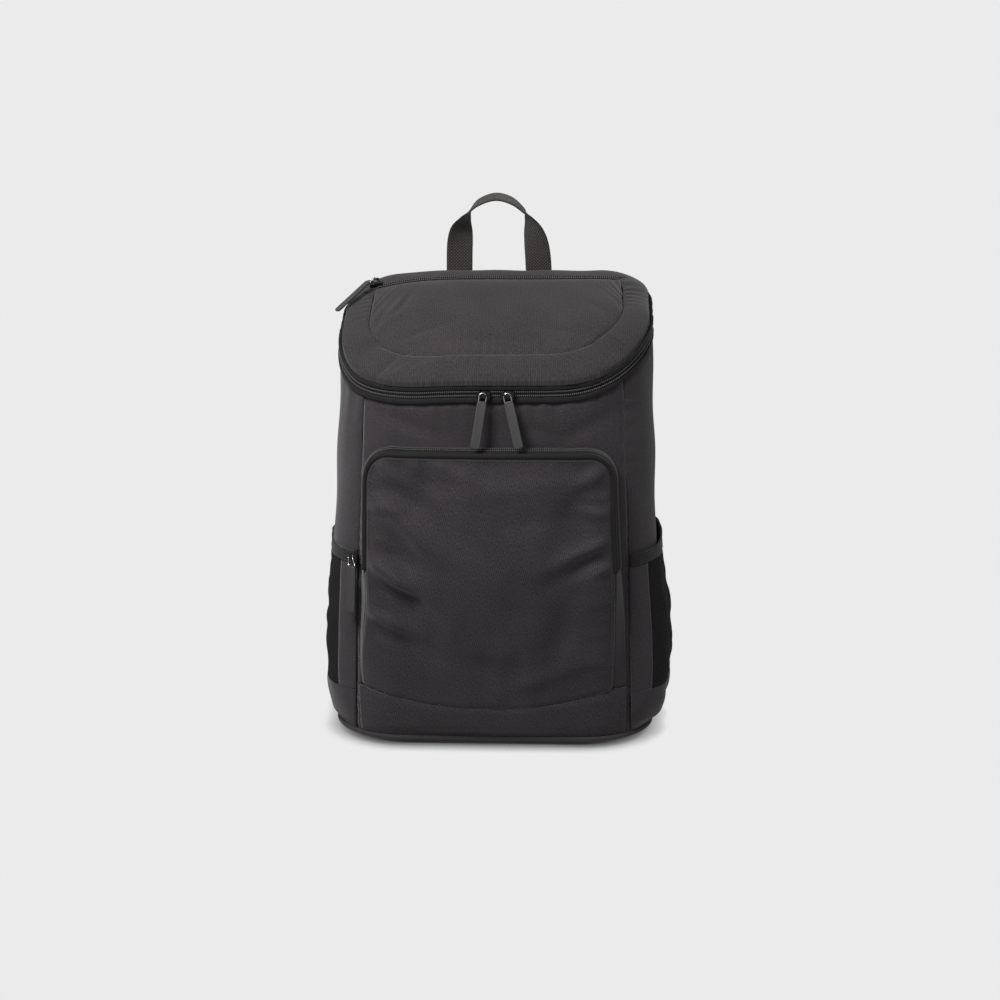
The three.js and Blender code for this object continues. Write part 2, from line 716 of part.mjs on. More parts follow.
function inFrame({ at, along, across, out }, a, c, level) {
  return at.clone().addScaledVector(along, a).addScaledVector(across, c).addScaledVector(out, level);
}

// The frame of a slider from three points of its zip: its own, one further on and one beside it.
function sliderFrame(at, ahead, beside) {
  const along = ahead.clone().sub(at).normalize();
  const out = new THREE.Vector3().crossVectors(along, beside.clone().sub(at)).normalize();
  return { at, along, across: new THREE.Vector3().crossVectors(out, along), out };
}

// A slider with a bail that the pull's wire passes through.
function slider(frame) {
  const outline = [[-0.5, -0.36], [0.1, -0.5], [0.5, -0.42], [0.5, 0.42], [0.1, 0.5], [-0.5, 0.36]];
  const body = [0, sliderHeight].map((level) => {
    return outline.map(([a, c]) => inFrame(frame, a * sliderLength, c * sliderWidth, level));
  });
  const [half, top] = [bailLength / 2, sliderHeight + bailHeight];
  const low = sliderHeight / 2;
  const arch = [
    [[-half, low], [-half + bailThickness, low]],
    [[-half, top - bailThickness], [-half + bailThickness, top - 2 * bailThickness]],
    [[-half + bailThickness, top], [-half + 2 * bailThickness, top - bailThickness]],
  ];
  const mirrored = [...arch].reverse().map((pair) => pair.map(([a, level]) => [-a, level]));
  const rings = [...arch, ...mirrored].map(([outer, inner]) => {
    const corners = [[outer, -0.5], [outer, 0.5], [inner, 0.5], [inner, -0.5]];
    return corners.map(([[a, level], c]) => inFrame(frame, a, c * bailWidth, level));
  });
  return joined([loft(body, fan(6)), loft(rings, fan(4))]);
}

// A pull: a wire that goes through the bail and one way from it, and a rubber tab that hangs from
// the wire another way and faces a third.
function addPull(name, frame, length, wireWay, tabWay, facing) {
  addMesh(`${name}_slider`, slider(frame), sliderMetal);
  const reach = wireWay.clone().normalize();
  const down = tabWay.clone().normalize();
  const face = facing.clone().addScaledVector(down, -facing.dot(down)).normalize();
  const width = new THREE.Vector3().crossVectors(down, face);
  const tunnel = sliderHeight + (bailHeight - bailThickness) / 2;
  const over = sliderHeight + bailHeight + seamGap + wireRadius;
  const middle = (tunnel + over) / 2;
  const clear = bailWidth / 2 + 2 * wireRadius + seamGap;
  const side = Math.sign(reach.dot(frame.across)) || 1;
  const tabTop = inFrame(frame, 0, 0, middle).addScaledVector(reach, length);
  const leg = (sign, share) => {
    const foot = tabTop.clone().addScaledVector(width, (sign * ringWidth) / 2);
    return foot.addScaledVector(reach, -2 * seamGap - share * length);
  };
  const lower = inFrame(frame, 0, side * clear, tunnel);
  const upper = inFrame(frame, 0, -side * clear, tunnel);
  const turned = Math.abs(reach.dot(frame.across)) > 0.5;
  const forward = turned || upper.clone().sub(lower).dot(width) > 0;
  const through = forward ? [lower, upper] : [upper, lower];
  const behind = inFrame(frame, 0, -side * (clear + wireRadius), middle);
  const before = [inFrame(frame, 0, 0, over + seamGap), inFrame(frame, 0, side * clear, over)];
  const around = turned ? [behind, ...before] : [];
  const points = [leg(-1, 0), leg(-1, 0.2), ...through, ...around, leg(1, 0.2), leg(1, 0)];
  addMesh(`${name}_ring`, wire(points, wireRadius, 26, 6), wireMetal);
  addMesh(`${name}_tab`, tab(tabTop, down, width, face), rubber);
}

// A flat tab with rounded corners and chamfered edges.
function tab(top, down, width, face) {
  const outline = (inset) => {
    const half = tabWidth / 2 - inset;
    const [low, high] = [inset, tabLength - inset];
    const corners = [[half, low, -1, 1], [half, high, -1, -1], [-half, high, 1, -1], [-half, low, 1, 1]];
    return corners.flatMap(([x, y, across, along], i) => {
      const [dx, dy] = [across * tabCorner, along * tabCorner];
      const ends = [[x + dx, y], [x + dx * 0.3, y + dy * 0.3], [x, y + dy]];
      return i % 2 ? ends.reverse() : ends;
    });
  };
  const chamfer = tabThickness / 5;
  const levels = [[chamfer, -0.5], [0, -0.3], [0, 0.3], [chamfer, 0.5]];
  const rings = levels.map(([inset, level]) => {
    return outline(inset).map(([x, y]) => {
      const at = top.clone().addScaledVector(width, x).addScaledVector(down, y);
      return at.addScaledVector(face, level * tabThickness);
    });
  });
  return loft(rings, fan(12));
}

function addPulls() {
  const coilTop = 2 * seamGap + coilHeight;
  const forward = new THREE.Vector3(0, -1, 0);
  const onMainZip = (x) => {
    const q = placeAt(x, rimFront);
    return sliderFrame(onRim(q, 0, coilTop), onRim(q + 0.01, 0, coilTop), onRim(q, 1, coilTop));
  };
  for (const [name, x, lean] of [["main_pull_left", -8.5, -0.15], ["main_pull_right", 13, 0.24]]) {
    const hang = new THREE.Vector3(lean, -0.24, -1);
    addPull(name, onMainZip(x), ringLength, hang, hang, forward);
  }

  const s = -2 - (pocketShoulder - pocketZipEnd - sliderLength / 2) / (pocketShoulder - pocketGussetEnd);
  const onCoil = (back, ahead) => onGusset(s - back, pocketCoilAt + ahead, coilTop);
  const pocketFrame = sliderFrame(onCoil(0, 0), onCoil(0.02, 0), onCoil(0, 0.1));
  const pocketReach = new THREE.Vector3(0.1, -0.7, -0.7);
  const pocketHang = new THREE.Vector3(-0.03, -0.02, -1);
  const pocketFacing = new THREE.Vector3(-0.45, -1, 0);
  addPull("pocket_pull", pocketFrame, longRingLength, pocketReach, pocketHang, pocketFacing);

  const onLidZip = (ahead, beside) => {
    const q = -bandEnd - ahead;
    return onLid(q, depthShare(q, (lidZipFront + lidZipBack) / 2 + beside, 1), 2 * seamGap);
  };
  const lidFrame = sliderFrame(onLidZip(0.05, 0), onLidZip(0.07, 0), onLidZip(0.05, 1));
  const lidReach = new THREE.Vector3(-0.48, -0.88, 0);
  const lidHang = new THREE.Vector3(-0.66, -0.5, -0.56);
  const lidFacing = new THREE.Vector3(-0.5, -0.2, 1);
  addPull("lid_pull", lidFrame, longRingLength, lidReach, lidHang, lidFacing);
}

// Grab handle: webbing that twists between its feet and its top

function addHandle() {
  const rise = handleTop - handleFoot;
  const depth = sectionAt(handleFoot).back + seamGap + webbingThickness / 2;
  const rows = handleSections;
  const points = rows.map((row) => {
    return new THREE.Vector3((row.across * handleSpan) / 2, depth, handleFoot + row.up * rise);
  });
  const curve = new THREE.CatmullRomCurve3(points, false, "centripetal");
  const places = even(0, 1, 36).map((t) => {
    const tangent = curve.getTangent(t);
    const row = t * (rows.length - 1);
    const i = Math.min(Math.floor(row), rows.length - 2);
    const turn = degToRad(lerp(rows[i].turn, rows[i + 1].turn, row - i));
    const side = new THREE.Vector3(Math.cos(turn), Math.sin(turn), 0);
    side.addScaledVector(tangent, -side.dot(tangent)).normalize();
    return { at: curve.getPoint(t), side, out: new THREE.Vector3().crossVectors(tangent, side) };
  });
  addMesh("grab_handle", sweep(places, webbingSection(), false), webbing);
}

// Shoulder straps: padded, with a lock, webbing and an anchor at the bottom

function onBack(x, z, off) {
  return new THREE.Vector3(x, sectionAt(z).back + off, z);
}

function strapAt(side, drop) {
  const share = (column) => sample(strapSections, "drop", column, drop);
  const middle = (side * share("middle") * bodyWidth) / 2;
  return { middle, gap: seamGap + strapReach * share("gap"), width: strapWidth * share("width") };
}

// Webbing at x along rows of height and distance from the back.
function ribbon(x, rows) {
  const curve = new THREE.CatmullRomCurve3(rows.map(([z, off]) => onBack(x, z, off)), false, "centripetal");
  const side = new THREE.Vector3(1, 0, 0);
  const places = even(0, 1, 3 * (rows.length - 1)).map((t) => {
    return { at: curve.getPoint(t), side, out: new THREE.Vector3().crossVectors(curve.getTangent(t), side) };
  });
  return sweep(places, webbingSection(), false);
}

function addStrap(name, side) {
  const padded = sheet(even(0, 1, 16), [0, 0.07, 0.5, 0.93, 1], (drop, v, face) => {
    const { middle, gap, width } = strapAt(side, drop);
    const edge = v === 0 || v === 1 ? strapThickness / 4 : 0;
    const off = gap + (face ? strapThickness - edge : edge);
    return onBack(middle + (v - 0.5) * width, lerp(strapTop, strapBottom, drop), off);
  });
  addMesh(`shoulder_strap_${name}`, padded, webbing);

  const { middle: x, gap } = strapAt(side, 1);
  const middle = gap + strapThickness / 2;
  const lockTop = strapBottom - lockBar - webbingThickness;
  addMesh(`strap_lock_${name}`, lock(x, lockTop, middle), plastic);

  const reach = lockThickness / 2 + seamGap + webbingThickness / 2;
  const bend = (level, way) => [[0, 1], [0.6, 0.75], [0.8, 0], [0.6, -0.75], [0, -1]].map(([over, out]) => {
    return [level + way * over * reach, middle + out * reach];
  });
  const end = strapBottom - seamGap;
  const loop = [[end, middle + reach], ...bend(lockTop - lockBar, -1), [end, middle - reach]];
  addMesh(`strap_loop_${name}`, ribbon(x, loop), webbing);
  const flat = 2 * seamGap + 1.5 * webbingThickness;
  const threaded = [
    [anchorBottom + webbingThickness, flat],
    [lerp(anchorBottom, anchorTop, 0.5), flat],
    [lerp(anchorBottom, anchorTop, 0.95), flat + seamGap],
    [lockTop - lockHeight, middle - reach],
    ...bend(lockTop - lockHeight / 2, 1).reverse(),
    [lockTop - lockHeight, middle + reach],
    [anchorTop, middle + reach],
  ];
  addMesh(`strap_webbing_${name}`, ribbon(x, threaded), webbing);
  const patch = sheet([0, 1], [0, 1], (u, v, face) => {
    const width = lerp(anchorWidth, webbingWidth, v);
    const off = seamGap + face * webbingThickness;
    return onBack(x + (u - 0.5) * width, lerp(anchorBottom, anchorTop, v), off);
  });
  addMesh(`strap_anchor_${name}`, patch, fabric);
}

// A frame with two slots: one for the strap's loop and one for the webbing.
function lock(x, top, middle) {
  const [half, inner] = [lockWidth / 2, webbingWidth / 2 + 1];
  const bottom = top - lockHeight;
  const bar = top - lockHeight / 2;
  const frame = new THREE.Shape(box(-half, bottom, half, top));
  frame.holes.push(new THREE.Path(box(-inner, bar, inner, top - lockBar)));
  frame.holes.push(new THREE.Path(box(-inner, bottom + lockBar, inner, bar - lockBar)));
  const solid = new THREE.ExtrudeGeometry(frame, { depth: lockThickness, bevelEnabled: false });
  solid.rotateX(Math.PI / 2);
  solid.translate(x, sectionAt(strapBottom).back + middle + lockThickness / 2, 0);
  return solid;
}

addBody();
addMainZip();
addLid();
addFrontPocket();
addSidePocket("left", -1);
addSidePocket("right", 1);
addPulls();
addHandle();
addStrap("left", -1);
addStrap("right", 1);

export default root;
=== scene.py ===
"""Looks of an insulated backpack with a slanting zipped lid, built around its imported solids.

Surfaces are worked out in millimetres and turned into metres where a mesh is made.
"""
import math

import bmesh
import bpy
import numpy as np
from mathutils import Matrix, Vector


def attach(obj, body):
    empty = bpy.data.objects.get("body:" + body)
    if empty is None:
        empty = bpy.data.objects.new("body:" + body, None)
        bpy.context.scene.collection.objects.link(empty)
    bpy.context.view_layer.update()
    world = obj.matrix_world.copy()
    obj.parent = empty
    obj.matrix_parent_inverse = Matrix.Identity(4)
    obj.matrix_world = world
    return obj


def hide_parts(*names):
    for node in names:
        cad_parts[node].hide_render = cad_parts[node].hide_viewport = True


MM = 0.001
TAU = math.tau

# Body
BODY_WIDTH = 298.0
BODY_DEPTH = 175.0
BODY_HEIGHT = 406.0
FRONT_BULGE = 5.0
SIDE_BULGE = 2.0
BACK_CORNER = 0.14
SEAM_HALF_TOP = 117.0
SEAM_HALF_BASE = 126.0
BASE_THICKNESS = 6.0
PIPING_RADIUS = 2.2
SEAM_GAP = 0.3
OVER_PIPING = BASE_THICKNESS + 2 * PIPING_RADIUS + SEAM_GAP
WALL = 3.0
CLOTH = 1.4
LID_CLOTH = 1.6
GUSSET_CLOTH = 1.2
THIN_CLOTH = 1.0
ELASTIC_CLOTH = 1.9
BODY_MIDDLE = (0, 0, 200)
POCKET_MIDDLE = (0, 0, 150)
LID_OVER = (0, 0, 300)

# Rim and lid
RIM_FRONT = 331.0
RIM_BACK = 397.0
ZIP_HALF = 8.0
COIL_WIDTH = 5.0
TOOTH_PITCH = 1.8
TOOTH_RADIUS = 0.5
TOOTH_LENGTH = 1.5
BINDING_WIDTH = 4.6
BINDING_RISE = 1.5
SEAM_OVERLAP = 0.5
PANEL_GAP = 0.006
LID_EDGE = 5.0
LID_SHOULDER = 6.0
LID_CROWN = 6.0
LID_OVERHANG = 2.5
LID_SIDE_TUCK = 1.2
LID_POCKET_FRONT = 25.0
LID_POCKET_SIDE = 25.0
LID_POCKET_LIFT = 4.5
LID_STRIP = 22.5
LID_ZIP = 8.0
PLAN_END = 5.0
BACK_SEAM = 3.72
BAND_END = 3.4

# Front pocket
POCKET_TOP = 282.5
POCKET_INSET = 3.0
POCKET_CORNER = 30.0
POCKET_DEPTH = 21.0
POCKET_SPLAY_TOP = 3.8
POCKET_SPLAY_SIDE = 12.0
POCKET_SPLAY_FOOT = 3.0
POCKET_BELLY = 12.0
POCKET_ZIP_END = 172.0
POCKET_GUSSET_END = 57.0
POCKET_DIP = 17.0
POCKET_LEAN = 5.0
POCKET_COIL_AT = 0.36
POCKET_BINDING = (2.3, 1.9)
CREASE_DEPTH = 6.0

# Side pockets
SIDE_POCKET_TOP = 180.0
SIDE_MESH_BOTTOM = 50.0
SIDE_ELASTIC = 11.0
SIDE_FULL = {-1: 7.0, 1: 14.0}
SIDE_POCKET_START = 0.004
SIDE_POCKET_END = 3.5
SIDE_STRIP_SHARE = 0.1

# Wire loops of the main pulls
LOOP_HALF = 3.2
LOOP_RISE = 7.2
WIRE = 0.65

# Handle and straps
HANDLE_TILT = math.radians(7)
WEBBING_WIDTH = 24.5
WEBBING_THICKNESS = 1.8
HANDLE_SPAN = 75.0
HANDLE_FOOT = 379.0
HANDLE_TOP = 481.0
STRAP_TOP = 373.0
STRAP_BOTTOM = 140.0
STRAP_THICKNESS = 10.0
STRAP_REACH = 27.0
STRAP_WIDTH = 62.0

# Camera: the photograph's angle, distance and framing
CAMERA_AZIMUTH = math.radians(2)
CAMERA_ELEVATION = math.radians(15)
CAMERA_DISTANCE = 2.4
CAMERA_TARGET = Vector((0, 0, 0.2265))
CAMERA_LENS = 92.9
CAMERA_SHIFT = (0.004, -0.0165)

# Light and floor
SKY_STRENGTH = 0.36
KEY_PLACE = (-0.5, -0.75, 1.3)
KEY_SIZE = 0.45
KEY_POWER = 16
KEY_AIM = Vector((0, 0, 0.25))
FLOOR_HALF = 30.0
FLOOR_TONE = (0.83, 0.83, 0.83, 1)
# The floor's painted contact shadow: its darkest tone, and its reach in metres.
SHADOW_TONE = (0.02, 0.02, 0.02, 1)
SHADOW_REACH = 0.018

# Sections of the body: height, width, depth, back and corner, as shares of its sizes.
BODY = np.array([
    (0, 0.92, 0.95, 0.475, 0.2),
    (0.018, 0.952, 0.98, 0.49, 0.2),
    (0.05, 0.985, 1, 0.5, 0.2),
    (0.09, 1, 1, 0.5, 0.2),
    (0.25, 1, 1, 0.5, 0.21),
    (0.5, 0.985, 0.984, 0.5, 0.24),
    (0.65, 0.975, 0.972, 0.5, 0.265),
    (0.82, 0.966, 0.964, 0.5, 0.285),
    (1, 0.95, 0.964, 0.5, 0.285),
])

# Bends, dents and folds: place across and up, turn in degrees, length, width and depth.
RIM_BENDS = [
    (0.95, 0.42, 0, 0.42, 0.42, 0.2),
    (-0.88, 0.22, 0, 0.4, 0.34, -0.15),
    (-0.98, 0.98, 0, 0.4, 0.32, -0.15),
]
LID_DENTS = [
    (-0.62, -0.5, 12, 0.16, 0.07, -0.3),
    (0.66, -0.48, -25, 0.14, 0.07, -0.3),
    (0.05, -0.36, 0, 0.5, 0.06, -0.2),
]
POCKET_FOLDS = [
    (-0.62, 2.02, -38, 0.42, 0.1, -0.12),
    (-0.66, 1.62, -32, 0.36, 0.13, -0.2),
    (-0.58, 1.25, -34, 0.4, 0.09, 0.16),
    (-0.42, 0.95, -36, 0.5, 0.1, -0.16),
    (0.66, 1.75, 12, 0.26, 0.16, -0.18),
    (0.55, 0.9, 30, 0.4, 0.12, -0.1),
]

# The same in millimetres, for the finer folds that only the cloth has.
FRONT_CREASES = [(-78, 303, -20, 30, 7, -1), (84, 300, 24, 26, 8, -1), (40, 297, -8, 22, 6, -0.5)]
LID_CREASES = [
    (-98, -62, 38, 13, 4, -1), (-86, -72, 30, 12, 3, 0.6), (100, -58, -38, 14, 4, -1),
    (88, -66, -42, 14, 3.4, 0.6), (112, -44, -30, 12, 3, 0.5),
]
LID_PANEL_CREASES = [
    (-92, 12, 62, 16, 3, 0.8), (-84, 20, 70, 14, 3, -0.8), (-100, -12, 40, 18, 3.5, 0.6),
    (-70, -30, 20, 26, 4, -0.5), (95, -8, -50, 16, 4, -0.6), (70, -36, -12, 30, 5, -0.6),
    (0, -42, 0, 60, 5, -0.5),
]
FACE_CREASES = [
    (-88, 168, -36, 30, 7.5, 0.9), (-84, 150, -34, 26, 9, -0.9), (-64, 147, -38, 24, 10, -1.0),
    (-98, 128, -22, 30, 6.5, 0.8), (-84, 108, -20, 34, 9, -0.6), (-44, 126, -50, 26, 14, 0.3),
    (-96, 198, -24, 22, 7, 0.7), (-84, 190, -40, 20, 11, -1.3), (-70, 208, -52, 26, 8, 0.7),
    (-94, 262, -45, 16, 6.5, 0.9), (-84, 246, -40, 24, 10, -1.0), (-66, 264, -48, 14, 6, 0.8),
    (-58, 258, -45, 16, 7, -0.9), (-98, 232, -12, 16, 6, 0.7), (-30, 262, -20, 26, 8, 0.5),
    (76, 232, 84, 30, 15, -1.2), (92, 262, 30, 20, 7, 0.8), (96, 226, -14, 16, 6, 0.7),
    (84, 194, 23, 26, 6, 0.9), (76, 178, 30, 30, 10, -0.9), (98, 176, 20, 14, 5.5, 0.6),
    (66, 130, 80, 50, 12, -0.5), (20, 250, 6, 40, 9, 0.4), (40, 222, 10, 40, 12, -0.4),
    (-30, 86, -8, 60, 10, -0.4), (50, 74, 20, 40, 8, 0.4),
]

# The edge of the base from below to above: reach and height, as shares.
BASE_EDGE = [(0.86, 0), (0.985, 0), (0.998, 0.2), (1, 0.5), (0.999, 5 / 6), (0.99, 1)]

# Sections of the front pocket: height, edge depth and belly, as shares.
POCKET = np.array([
    (0, 0.08, 0),
    (0.04, 0.08, 0.06),
    (0.08, 0.12, 0.55),
    (0.18, 0.16, 0.9),
    (0.4, 0.6, 1),
    (0.62, 1, 1),
    (0.85, 1, 0.5),
    (0.97, 1, 0),
])

# Fullness of a side pocket: height and depth, as shares.
SIDE_POCKET = np.array([
    (0.06, 0.06), (0.11, 0.66), (0.23, 0.88), (0.4, 1), (0.6, 0.82), (0.81, 0.42), (1, 0.24),
])

# The handle from foot to foot: across, up and turn in degrees.
HANDLE = np.array([
    (-1, 0, 0), (-1, 0.34, 0), (-0.99, 0.55, 8), (-0.95, 0.69, 30), (-0.86, 0.79, 60),
    (-0.74, 0.865, 80), (-0.5, 0.95, 88), (-0.1, 1, 90), (0.3, 0.965, 92), (0.62, 0.87, 98),
    (0.76, 0.79, 118), (0.86, 0.69, 142), (0.94, 0.55, 164), (0.99, 0.34, 180), (1, 0, 180),
])

# A shoulder strap: drop, gap behind it, middle and width, as shares.
STRAP = np.array([
    (0, 0.03, 0.36, 0.74), (0.1, 0.42, 0.37, 0.9), (0.28, 0.84, 0.39, 1), (0.5, 1, 0.43, 1),
    (0.72, 0.82, 0.49, 0.92), (0.9, 0.5, 0.55, 0.74), (1, 0.36, 0.58, 0.56),
])


# Small helpers

def column(table, index, t):
    """One column of a table at t, eased between its rows without overshoot."""
    xs, ys = table[:, 0], table[:, index]
    secants = np.diff(ys) / np.diff(xs)
    slopes = np.zeros(len(xs))
    left, right = secants[:-1], secants[1:]
    same = left * right > 0
    slopes[1:-1][same] = 2 * (left * right)[same] / (left + right)[same]
    t = np.clip(t, xs[0], xs[-1])
    i = np.clip(np.searchsorted(xs, t) - 1, 0, len(xs) - 2)
    step = xs[i + 1] - xs[i]
    s = (t - xs[i]) / step
    rise = s * s * (3 - 2 * s)
    lead = step * (slopes[i] * s * (1 - s) ** 2 - slopes[i + 1] * s * s * (1 - s))
    return ys[i] * (1 - rise) + ys[i + 1] * rise + lead


def lerp(a, b, t):
    return a + (b - a) * t


def smoothstep(t, low, high):
    s = np.clip((t - low) / (high - low), 0, 1)
    return s * s * (3 - 2 * s)


def folds(table, across, up):
    """The height of a table of folds at a place, both in the same unit."""
    total = 0.0
    for x, y, turn, length, width, depth in table:
        cos, sin = math.cos(math.radians(turn)), math.sin(math.radians(turn))
        along = (across - x) * cos + (up - y) * sin
        beside = (up - y) * cos - (across - x) * sin
        total = total + depth * np.exp(-((along / length) ** 2) - (beside / width) ** 2)
    return total


def grid(a, b):
    return np.meshgrid(a, b, indexing="ij")


def swell(a, b, size, seed, count=7):
    """A soft irregular swell of height about 1 over places in mm."""
    rng = np.random.default_rng(seed)
    total = 0.0
    for _ in range(count):
        turn, phase = rng.uniform(0, TAU, 2)
        pitch = size * rng.uniform(0.7, 1.6)
        total = total + np.sin((a * math.cos(turn) + b * math.sin(turn)) * TAU / pitch + phase)
    return total / math.sqrt(count)


def pucker(along, away, pitch, reach, seed):
    """Small folds that run away from a seam."""
    phase = 2.2 * swell(along, 0 * along, 4 * pitch, seed)
    strength = 0.6 + 0.4 * swell(along, 0 * along, 7 * pitch, seed + 1)
    return strength * np.sin(along * TAU / pitch + phase) * np.exp(-away / reach)


def spread(low, high, count, bunch=0.0):
    """Even stops, bunched a little towards both ends."""
    t = np.linspace(0, 1, count)
    return lerp(low, high, t - bunch * np.sin(TAU * t) / TAU)


# The body's surface

def section(z):
    share = np.asarray(z, float) / BODY_HEIGHT
    half = BODY_WIDTH / 2 * column(BODY, 1, share)
    back = BODY_DEPTH * column(BODY, 3, share)
    front = back - BODY_DEPTH * column(BODY, 2, share)
    return half, back, front, BODY_WIDTH * column(BODY, 4, share)


def bulge(a, z):
    rise = np.sin(math.pi * np.clip(z / RIM_FRONT, 0, 1))
    front = np.cos(math.pi / 2 * np.minimum(a / 2, 1)) ** 2
    side = np.sin(math.pi * np.clip((a - 1) / (BACK_SEAM - 1), 0, 1)) ** 2
    return rise * (FRONT_BULGE * front + SIDE_BULGE * side)


def plan(q, z, off=0.0):
    """Points at places q of the outline and heights z, off the walls' outer face."""
    q, z, off = np.broadcast_arrays(np.asarray(q, float), z, off)
    place = np.where(q > PLAN_END, q - 2 * PLAN_END, q)
    a = np.abs(place)
    half, back, front, radius = section(z)
    back_radius = BODY_WIDTH * BACK_CORNER
    front_turn = np.clip(a - 1, 0, 1) * math.pi / 2
    back_turn = np.clip(a - 3, 0, 1) * math.pi / 2
    nx = np.sin(front_turn) * np.cos(back_turn)
    ny = np.sin(back_turn) - np.cos(front_turn)
    reach = off + bulge(a, z)
    x = (half - radius) * np.minimum(a, 1) + radius * nx
    y = front + radius * (1 + ny)
    side = lerp(front + radius, back - back_radius, np.clip(a - 2, 0, 1)) + back_radius * ny
    x = np.where(a > 2, half - back_radius * (1 - nx), x)
    y = np.where(a > 2, side, y)
    x = np.where(a > 4, (half - back_radius) * (PLAN_END - a), x)
    sign = np.where(place < 0, -1, 1)
    return np.stack([sign * (x + reach * nx), y + reach * ny, z + 0 * x], -1)


def place_at(x, z):
    """The place on the outline at x, on the front or its corner."""
    half, _, _, radius = section(z)
    a = np.abs(x)
    straight = half - radius
    turn = np.arcsin(np.clip((a - straight) / radius, 0, 1))
    return np.sign(x) * np.where(a < straight, a / straight, 1 + turn / (math.pi / 2))


def on_front(x, z, off):
    return plan(place_at(x, z), z, off)


def seam_half(z):
    return lerp(SEAM_HALF_BASE, SEAM_HALF_TOP, z / RIM_FRONT)


def seam_at(z):
    level = np.minimum(z, RIM_FRONT - ZIP_HALF)
    return place_at(seam_half(level), level)


RIM_HALF, RIM_REAR, RIM_FORE, _ = (float(v) for v in section(RIM_FRONT))
LID_MIDDLE = (RIM_FORE + RIM_REAR) / 2


def rim_at(x, y):
    half = BODY_WIDTH / 2
    share = (y - RIM_FORE) / (RIM_REAR - RIM_FORE)
    bend = folds(RIM_BENDS, x / half, (y - RIM_FORE) / half)
    return lerp(RIM_FRONT, RIM_BACK, share) + (RIM_BACK - RIM_FRONT) * bend


def on_rim(q, above, off):
    level = plan(q, RIM_FRONT, off)
    return plan(q, rim_at(level[..., 0], level[..., 1]) + above, off)


# The lid's surface

def lid_edge(q):
    a = np.minimum(np.abs(q), 2 * PLAN_END - np.abs(q))
    over = lerp(LID_OVERHANG, -LID_SIDE_TUCK, smoothstep(a, 1.1, 2.1))
    return on_rim(q, ZIP_HALF, over * (1 - smoothstep(a, 2.8, 3.6)))


def lid_ring():
    """The lid's edge as angle and reach about its middle."""
    edge = lid_edge(np.linspace(-PLAN_END, PLAN_END, 721))
    x, y = edge[:, 0], edge[:, 1] - LID_MIDDLE
    angle = np.arctan2(y, x)
    order = np.argsort(angle)
    return angle[order], np.hypot(x, y)[order]


LID_ANGLES, LID_REACHES = lid_ring()


def lid_height(x, y, h=0.0):
    """The lid's height over a place, with h on top of it."""
    away = y - LID_MIDDLE
    reach = np.interp(np.arctan2(away, x), LID_ANGLES, LID_REACHES, period=TAU)
    r = np.clip(np.hypot(x, away) / reach, 0, 1)
    half = BODY_WIDTH / 2
    dents = folds(LID_DENTS, x / half, away / half) * (1 - r ** 12)
    crown = LID_CROWN * (1 - r ** 2.4 + dents) + LID_SHOULDER * (1 - r ** 14)
    return rim_at(x, y) + ZIP_HALF + SEAM_GAP + LID_EDGE + crown + h


def on_lid(q, r, h=0.0):
    edge = lid_edge(q)
    x = edge[..., 0] * r
    y = lerp(LID_MIDDLE, edge[..., 1], r)
    return np.stack([x, y, lid_height(x, y, h)], -1)


LID_ZIP_BACK = float(on_lid(np.array(PLAN_END), 1.0)[1]) - LID_STRIP
LID_ZIP_FRONT = LID_ZIP_BACK - LID_ZIP


def lid_seam_share(q):
    front = 1 - LID_POCKET_FRONT / (LID_MIDDLE - RIM_FORE)
    return lerp(front, 1 - LID_POCKET_SIDE / RIM_HALF, smoothstep(np.abs(q), 0.85, 2))


def depth_share(q, y, limit):
    """The share r at which the lid's surface reaches depth y, and no more than a limit."""
    slope = np.maximum(lid_edge(q)[..., 1] - LID_MIDDLE, 1)
    return np.minimum(limit, (y - LID_MIDDLE) / slope)


# The front pocket's surface

POCKET_SHOULDER = POCKET_TOP - POCKET_CORNER
POCKET_ZIP_STOP = 2 + (POCKET_SHOULDER - POCKET_ZIP_END) / (POCKET_SHOULDER - POCKET_GUSSET_END)


def pocket_half(z, side):
    lean = POCKET_LEAN * smoothstep(z, POCKET_GUSSET_END, POCKET_SHOULDER)
    return seam_half(z) - POCKET_INSET - np.where(side > 0, lean, 0)


def pocket_edge(s, inset):
    """Across and height of the pocket's outline: 0 is its top's middle, 1 to 2 its corner."""
    a, side = np.abs(s), np.where(s < 0, -1, 1)
    straight = pocket_half(POCKET_SHOULDER, side) - POCKET_CORNER
    turn = np.clip(a - 1, 0, 1) * math.pi / 2
    radius = POCKET_CORNER - inset
    x = straight * np.minimum(a, 1) + radius * np.sin(turn)
    z = POCKET_SHOULDER + radius * np.cos(turn)
    low = lerp(POCKET_SHOULDER, POCKET_GUSSET_END, np.clip(a - 2, 0, 1))
    z = np.where(a > 2, low, z)
    x = np.where(a > 2, pocket_half(low, side) - inset, x)
    return side * x, z


def pocket_edge_depth(z):
    return POCKET_DEPTH * column(POCKET, 1, z / POCKET_TOP)


def pocket_face_depth(u, z):
    belly = column(POCKET, 2, z / POCKET_TOP) * (1 - np.abs(u) ** 2.2)
    dents = folds(POCKET_FOLDS, u, z / pocket_half(z, -1)) * np.minimum(1, 3 * belly)
    return pocket_edge_depth(z) + POCKET_BELLY * belly + POCKET_DEPTH * dents


def splay(s):
    """How far in the pocket's face lies from its foot on the front: least along its top."""
    a = np.abs(s)
    wide = lerp(POCKET_SPLAY_TOP, POCKET_SPLAY_SIDE, smoothstep(a, 0.9, 1.9))
    return lerp(wide, POCKET_SPLAY_FOOT, np.where(s < 0, smoothstep(a, 2.5, 2.95), 0))


def on_gusset(s, v, h):
    x, z = pocket_edge(s, splay(s) * v - h)
    depth = lerp(SEAM_GAP, pocket_edge_depth(z) - CLOTH - 2 * SEAM_GAP, v)
    return on_front(x, z, depth)


